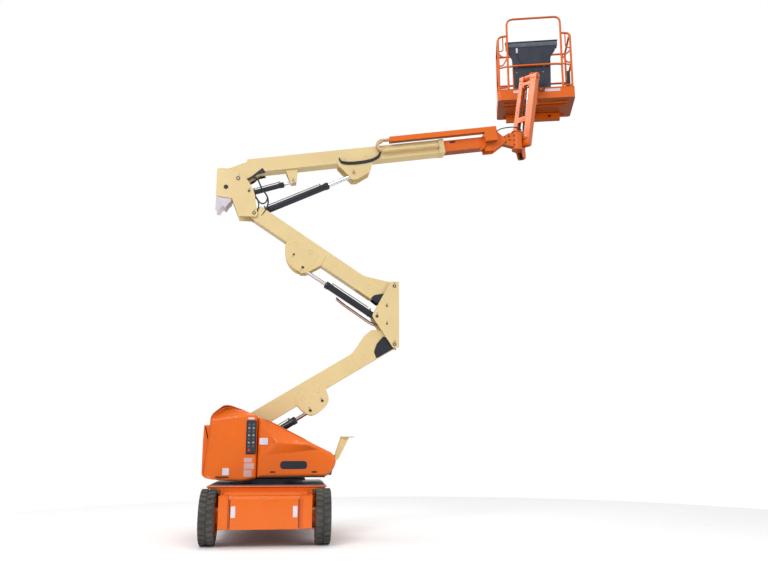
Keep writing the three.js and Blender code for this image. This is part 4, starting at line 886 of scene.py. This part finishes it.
# %% Console
front = NEAR + RAIL + 2
body_outline = [(275, -65), (-300, -65), (-312, 300), (-318, 540), (-400, 640), (-400, 720), (380, 720),
                (380, 640), (300, 540), (285, 300)]
skin = plate("console_body", deck, body_outline, front, front + 62, slate_plastic, "platform",
             [40, 40, 120, 90, 60, 20, 20, 60, 90, 120], 14, "yzx")
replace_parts(skin, "platform_console")
plate("console_tray", deck, [(front - 12, 706), (front + 120, 706), (front + 120, 806), (front + 96, 812),
                             (front - 12, 780)],
      SIDE - 372, SIDE + 452, light_slate, "platform", 16, 8, "xzy")
plate("console_lip", deck, [(front + 6, 800), (front + 110, 812), (front + 110, 826), (front + 6, 814)],
      SIDE - 380, SIDE + 460,
      slate_plastic, "platform", 4, 2, "xzy")
plate("console_panel", deck, [(front + 60, 560), (front + 130, 560), (front + 130, 712), (front + 60, 712)],
      SIDE - 250, SIDE + 250,
      slate_plastic, "platform", 14, 8, "xzy")
for n, (y, z) in enumerate([(230, 350), (40, 372), (0, 240), (230, 262), (-210, 350), (-190, 250), (60, 120),
                            (-120, 120)]):
    turned(f"console_bolt_{n}", deck, [front + 1, y, z], [-1, 0, 0],
           [(0, 0), (0, 14), (3, 13), (8, 8), (9, 0)], zinc_plate, "platform", 16)
turned("console_handle", deck, [front - 4, 216, 600], [0, 0, 1],
       [(-2, 0), (0, 14), (20, 17), (70, 17), (88, 12), (90, 0)], white_film, "platform", 20)
plate("document_box", deck, [(RIGHT + 26, -20), (RIGHT + 74, -20), (RIGHT + 74, 250), (RIGHT + 26, 250)],
      NEAR + 24, NEAR + 60, slate_plastic,
      "platform", 10, 4, "yzx")

# %% [markdown]
# The toe board is pressed sheet with a turned lip, and two blank films are stuck on its front.

# %% Toe board films and floor ribs
toe_face = 165.0
for y0, y1 in [(60, 300), (-440, -200)]:
    plate(f"toe_film_{y0}", deck, [(y0, -118), (y1, -118), (y1, -72), (y0, -72)], toe_face - 0.2,
          toe_face - 1.0, white_film, "platform", 6, 0.3, "yzx")
lip = [[165, RIGHT - 25, TOE_Z], [165, LEFT + 25, TOE_Z], [925, LEFT + 25, TOE_Z], [925, RIGHT - 25, TOE_Z]]
bent_tube("toe_lip", deck, lip, 6, orange_enamel, "platform", 44, 10, True)
for n, x in enumerate([300, 420, 840]):
    plate(f"floor_rib_{n}", deck, [(SIDE - 520, -233), (SIDE + 520, -233), (SIDE + 500, -262),
                                   (SIDE - 500, -262)], x, x + 5,
          orange_enamel, "platform", 8, 1, "yzx")

# %% [markdown]
# Hoses and the cable track feed the fly boom. The track is a chain of open nylon links: thin
# dark gaps between the links show its pitch, about 45 mm.

# %% Cable track links
BEND_X, BEND_Z, BEND_OUT, BEND_IN = 2075.0, 253.0, 92.0, 44.0
links_made = []
track_y = (-178.5, -111.5)
pitch = 44.0


def link(n, x, z, angle, long=21, tall=23):
    """One link: a rounded plate across the track, turned to lie along the run."""
    c, s = math.cos(angle), math.sin(angle)
    shape = [(-long, -tall), (long, -tall), (long, tall), (-long, tall)]
    outline = [(x + a * c - b * s, z + a * s + b * c) for a, b in shape]
    return plate(f"track_link_{n}", main, outline, track_y[0], track_y[1], track_nylon, "track_bend", 6, 3)


middle_r = (BEND_OUT + BEND_IN) / 2
for k in range(11):
    links_made.append(link(len(links_made), BEND_X + 22 + k * pitch, BEND_Z - middle_r, 0))
for k in range(15):
    links_made.append(link(len(links_made), BEND_X + 22 + k * pitch, BEND_Z + 77, 0, 21, 14))
for a in np.radians(np.linspace(98, 262, 8)):
    x, z = BEND_X + middle_r * math.cos(a), BEND_Z + middle_r * math.sin(a)
    links_made.append(link(len(links_made), x, z, a + math.pi / 2, 15))
chain = merged("track_links", links_made)
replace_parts(chain, "track_bend")
print(len(links_made), "track links")
tray = plate("tray_sheet", main, [(2052, 156), (2910, 156), (2910, 161), (2052, 161)], -188, -101,
             cream_enamel, "main_boom", 2, 1)
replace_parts(tray, "track_tray")
plate("tray_lip", main, [(2062, 158), (2860, 158), (2880, 186), (2100, 186)], -188, -184, cream_enamel,
      "main_boom", 12, 1)
plate("tray_end", main, [(2900, 60), (2988, 60), (2988, 262), (2912, 262), (2900, 190)], -122, -101,
      cream_enamel, "main_boom", 14, 3)

# %% [markdown]
# Hoses are wire-braided rubber with a fixed length. Each leaves one fitting and goes back into the
# machine, so each is a round tube along one smooth line, and its length is the length of that line.


# %% Hoses
def smooth_line(points, steps=28):
    """A Catmull-Rom line: between two points p1 and p2 it also heads along p0 to p2 and p1 to p3."""
    p = np.asarray(points, float)
    p = np.vstack([2 * p[0] - p[1], p, 2 * p[-1] - p[-2]])
    t = np.linspace(0, len(p) - 3 - 1e-9, steps)
    k, f = t.astype(int), (t % 1)[:, None]
    a, b, c, d = p[k], p[k + 1], p[k + 2], p[k + 3]
    return 0.5 * (2 * b + (c - a) * f + (2 * a - 5 * b + 4 * c - d) * f**2 + (3 * b - 3 * c + d - a) * f**3)


def hose(name, place, points, body, r=9, material=None):
    """A circle carried along the smooth line, turned by the line's own direction at each point."""
    path = smooth_line(points)
    run = np.gradient(path, axis=0)
    run /= np.linalg.norm(run, axis=1, keepdims=True)
    spread_of = np.linalg.svd(path - path.mean(axis=0))[2][2]
    u = np.cross(run, spread_of)
    u /= np.linalg.norm(u, axis=1, keepdims=True)
    v = np.cross(run, u)
    angle = np.linspace(0, 2 * math.pi, 12, endpoint=False)
    rings = path[:, None] + r * (np.cos(angle)[None, :, None] * u[:, None] + np.sin(angle)[None, :,
          None] * v[:, None])
    made = loft(name, place.at(rings), material or hose_rubber, body)
    line = place.at(path)
    return made


hose("loop_outer", upright, [[-112, -100, 470], [-50, -96, 520], [24, -90, 510], [62, -86, 440],
                             [100, -84, 360], [150, -86, 296], [182, -86, 225], [184, -86, 140], [150, -84, 50],
                             [100, -80, -24]], "upright", 11)
hose("loop_inner", upright, [[-24, -100, 300], [20, -84, 240], [66, -64, 178], [118, -66, 158],
                             [160, -66, 190], [176, -64, 250]], "upright", 10)
hose("loop_short", upright, [[-10, -96, 250], [44, -96, 190], [60, -96, 110], [40, -94, 30]], "upright", 9)
for n, (drop, finish) in enumerate([(0, hose_rubber), (26, tan_hose)]):
    hose(f"strut_hose_{n}", knuckle, [[-196, -112, 262 - drop], [-320, -90, 300 - drop],
                                      [-520, -78, 432 - drop], [-700, -76, 556 - drop],
                                      [-800, -70, 640 - drop]], "knuckle", 9, finish)
for n in range(3):
    hose(f"boom_hose_{n}", main, [[1440, -108, 150 - n * 16], [1470, -116, 92 - n * 15],
                                  [1600, -120, 62 - n * 14], [1780, -120, 62 - n * 14],
                                  [1930, -118, 84 - n * 14], [2010, -116, 130 - n * 14],
                                  [2040, -112, 190 - n * 10]], "main_boom", 9)
for n in range(3):
    hose(f"head_hose_{n}", head, [[-120, -70 + n * 16, 100], [-40, -92 + n * 14, 160 + n * 4],
                                  [80, -108 + n * 12, 190 + n * 5],
                                  [200, -112 + n * 12, 196 + n * 5], [290, -100 + n * 14, 168 + n * 4]],
                                  "head", 8)
for n in range(2):
    hose(f"jib_hose_{n}", jib, [[80, -36 + n * 104, 6], [300, -32 + n * 94, 14], [700, -34 + n * 98, 14],
                                [1040, -34 + n * 98, 8]], "jib", 9, None)
hose("platform_hose", deck, [[30, -64, -50], [78, -92, -120], [122, -140, -132], [160, -190, -60],
                             [186, -200, 60]], "platform", 9)
hose("handle_lead", deck, [[front - 4, 216, 604], [front - 9, 206, 540], [front - 9, 180, 470],
                           [front - 7, 140, 420]], "platform", 4)

# %% [markdown]
# The fly boom's side shows a window, a slot and a slanted guard; the jib's two members are closed
# by flat covers, and the swing actuator is bolted up with rows of cap screws.

# %% Fly boom, head and jib details
# The window and the slot in the fly boom's side are black plates: painted shade for the dark inside of the boom.
plate("fly_window", main, [(3400, 188), (3480, 188), (3480, 248), (3400, 248)], -79.6, -82, black_enamel,
      "fly_boom", 6, 0.8)
plate("fly_slot", main, [(3085, 208), (3170, 208), (3170, 236), (3085, 236)], -79.6, -82, black_enamel,
      "fly_boom", 12, 0.8)
plate("fly_doubler", main, [(3020, 96), (3620, 96), (3660, 250), (3300, 250), (3260, 190), (3040, 190)], -79.6,
      -83, orange_enamel, "fly_boom", 20, 1.2)
plate("slanted_guard", main, [(3700, 272), (3738, 272), (3560, 62), (3500, 36), (3512, 62)], -84, -112,
      orange_enamel, "fly_boom", 10, 2)
for n, (x, z) in enumerate([(40, 60), (110, 78), (190, 92), (190, 20), (190, -50), (60, -20), (120, 20)]):
    turned(f"head_bolt_{n}", head, [x, -49.5, z], [0, -1, 0], [(0, 0), (0, 13), (9, 13), (11, 10), (11, 0)],
           pin_steel, "head", 6)
for s, y0, y1 in [(1, 84, 141), (-1, -141, -49)]:
    cover = [(70, y0), (1220, y0), (1220, y1), (70, y1)]
    plate(f"jib_cover_{s}", jib, cover, 44, 51, orange_enamel, "jib", 10, 1.5, "xyz")
    plate(f"jib_back_{s}", jib, cover, -44, -51, orange_enamel, "jib", 10, 1.5, "xyz")
# The jib slot is a black plate: painted shade for the dark inside of the member.
plate("jib_slot", jib, [(560, 104), (640, 104), (640, 118), (560, 118)], 50.5, 52, black_enamel, "jib", 6, 0.5,
      "xyz")
for n, (x, y) in enumerate([(110, -95), (1170, -95), (110, 112), (1170, 112)]):
    turned(f"jib_bolt_{n}", jib, [x, y, 50.5], [0, 0, 1], [(0, 0), (0, 12), (7, 12), (9, 9), (9, 0)],
           zinc_plate, "jib", 12)

# %% [markdown]
# The end frames of the battery covers: hinge seams, a row of screws and blank films; the lift holes are not drawn.

# %% Chassis details
REAR = -1288.6
for side, x in [("left", -404), ("right", 372)]:
    plate(f"cover_seam_{side}", machine, [(x, 214), (x + 10, 214), (x + 10, 530), (x, 530)], REAR + 1,
          REAR - 0.6, black_enamel, "chassis", 2, 0.3)
for side, x in [("left", -386), ("right", 310)]:
    film(f"cover_film_{side}", machine, x, x + 50, 330, 455, REAR - 0.2, white_film, "chassis")
for n, (x, z) in enumerate([(-372, 548), (344, 548), (-20, 556)]):
    turned(f"cover_screw_{n}", machine, [x, REAR - 0.2, z], [0, -1, 0],
           [(-1, 0), (-1, 8), (3, 8), (5, 5), (5, 0)], zinc_plate, "chassis", 12)
for s, side in [(-1, "left"), (1, "right")]:
    turned(f"drive_motor_{side}", machine, [s * 470, -1000, 317.5], [s, 0, 0],
           [(0, 0), (0, 128), (52, 128), (62, 118), (72, 104), (128, 100), (132, 92), (132, 0)], orange_enamel,
           "chassis", 36)
    plate(f"end_cheek_{side}", machine, [(s * 420, 205), (s * 528, 205), (s * 528, 520), (s * 500, 560),
                                         (s * 420, 560)], -1262, -1276,
          orange_enamel, "chassis", 14, 2)
plate("rear_top_lip", machine, [(-420, 566), (400, 566), (400, 597), (-420, 597)], -1250, -1266, orange_enamel,
      "chassis", 8, 3)
rim_line = [[-701, -920, 650], [701, -920, 650], [701, 920, 650], [-701, 920, 650]]
bent_tube("deck_rim", machine, rim_line, 9, orange_enamel, "chassis", 40, 10, True)
for s, side in [(-1, "left"), (1, "right")]:
    plate(f"deck_bracket_{side}", machine, [(s * 420, 600), (s * 690, 632), (s * 690, 644), (s * 420, 644)],
          -918, -910,
          orange_enamel, "chassis", 4, 2)
plate("deck_skirt", machine, [(-540, 548), (540, 548), (540, 643), (-540, 643)], -916, -900, orange_enamel,
      "chassis", 4, 3)
print("chassis dressed")

# %% [markdown]
# A plain pale floor and a soft studio: a large key light from the upper left, a weak fill from the
# right and a little from above. The world is white to look at, and lights more from above than below,
# so that undersides stay darker than tops.

# %% Floor, lights and world
FLOOR_RADIUS_M = 7.5
turn_round = np.linspace(0, 2 * math.pi, 96, endpoint=False)
rim_points = np.stack([FLOOR_RADIUS_M * np.cos(turn_round), FLOOR_RADIUS_M * np.sin(turn_round),
                       0 * turn_round], axis=1)
floor = finish_mesh("studio_floor", rim_points, [list(range(96))],
                    moulded("pale_studio_floor", "#F6F6F6", "#FAFAFA", 0.9, 60, 0.01), "chassis")
floor.parent = None


def lamp(name, where_mm, aim_mm, size, power):
    light = bpy.data.objects.new(name, bpy.data.lights.new(name, "AREA"))
    bpy.context.scene.collection.objects.link(light)
    light.data.size, light.data.energy = size, power
    start, aim = machine.at(where_mm), machine.at(aim_mm)
    light.location = start
    d = aim - start
    light.rotation_euler = (math.atan2(math.hypot(d[0], d[1]), -d[2]), 0, math.atan2(d[1], d[0]) - math.pi / 2)
    return light


lamp("key", [-4500, -9000, 9500], [600, 0, 3000], 4.0, 560)
lamp("fill", [7500, -8500, 4500], [1500, 0, 3000], 6.0, 130)
lamp("top", [0, 1500, 12500], [500, 0, 3000], 5.0, 380)
world = bpy.data.worlds.new("studio")
world.use_nodes = True
sky, ground = world.node_tree, world.node_tree.nodes["Background"]
direction = add(sky, "TexCoord").outputs["Generated"]
height = add(sky, "SeparateXYZ", Vector=direction).outputs["Z"]
share = add(sky, "MapRange", {"From Min": -0.35, "From Max": 0.5, "To Min": 0.3, "To Max": 0.8}, Value=height)
seen = add(sky, "LightPath").outputs["Is Camera Ray"]
strength = add(sky, "Mix", {"data_type": "FLOAT", "B": 1.0}, A=share.outputs["Result"], Factor=seen)
ground.inputs["Color"].default_value = (1, 1, 1, 1)
sky.links.new(strength.outputs[0], ground.inputs["Strength"])
bpy.context.scene.world = world
bpy.context.scene.view_settings.view_transform = "Standard"
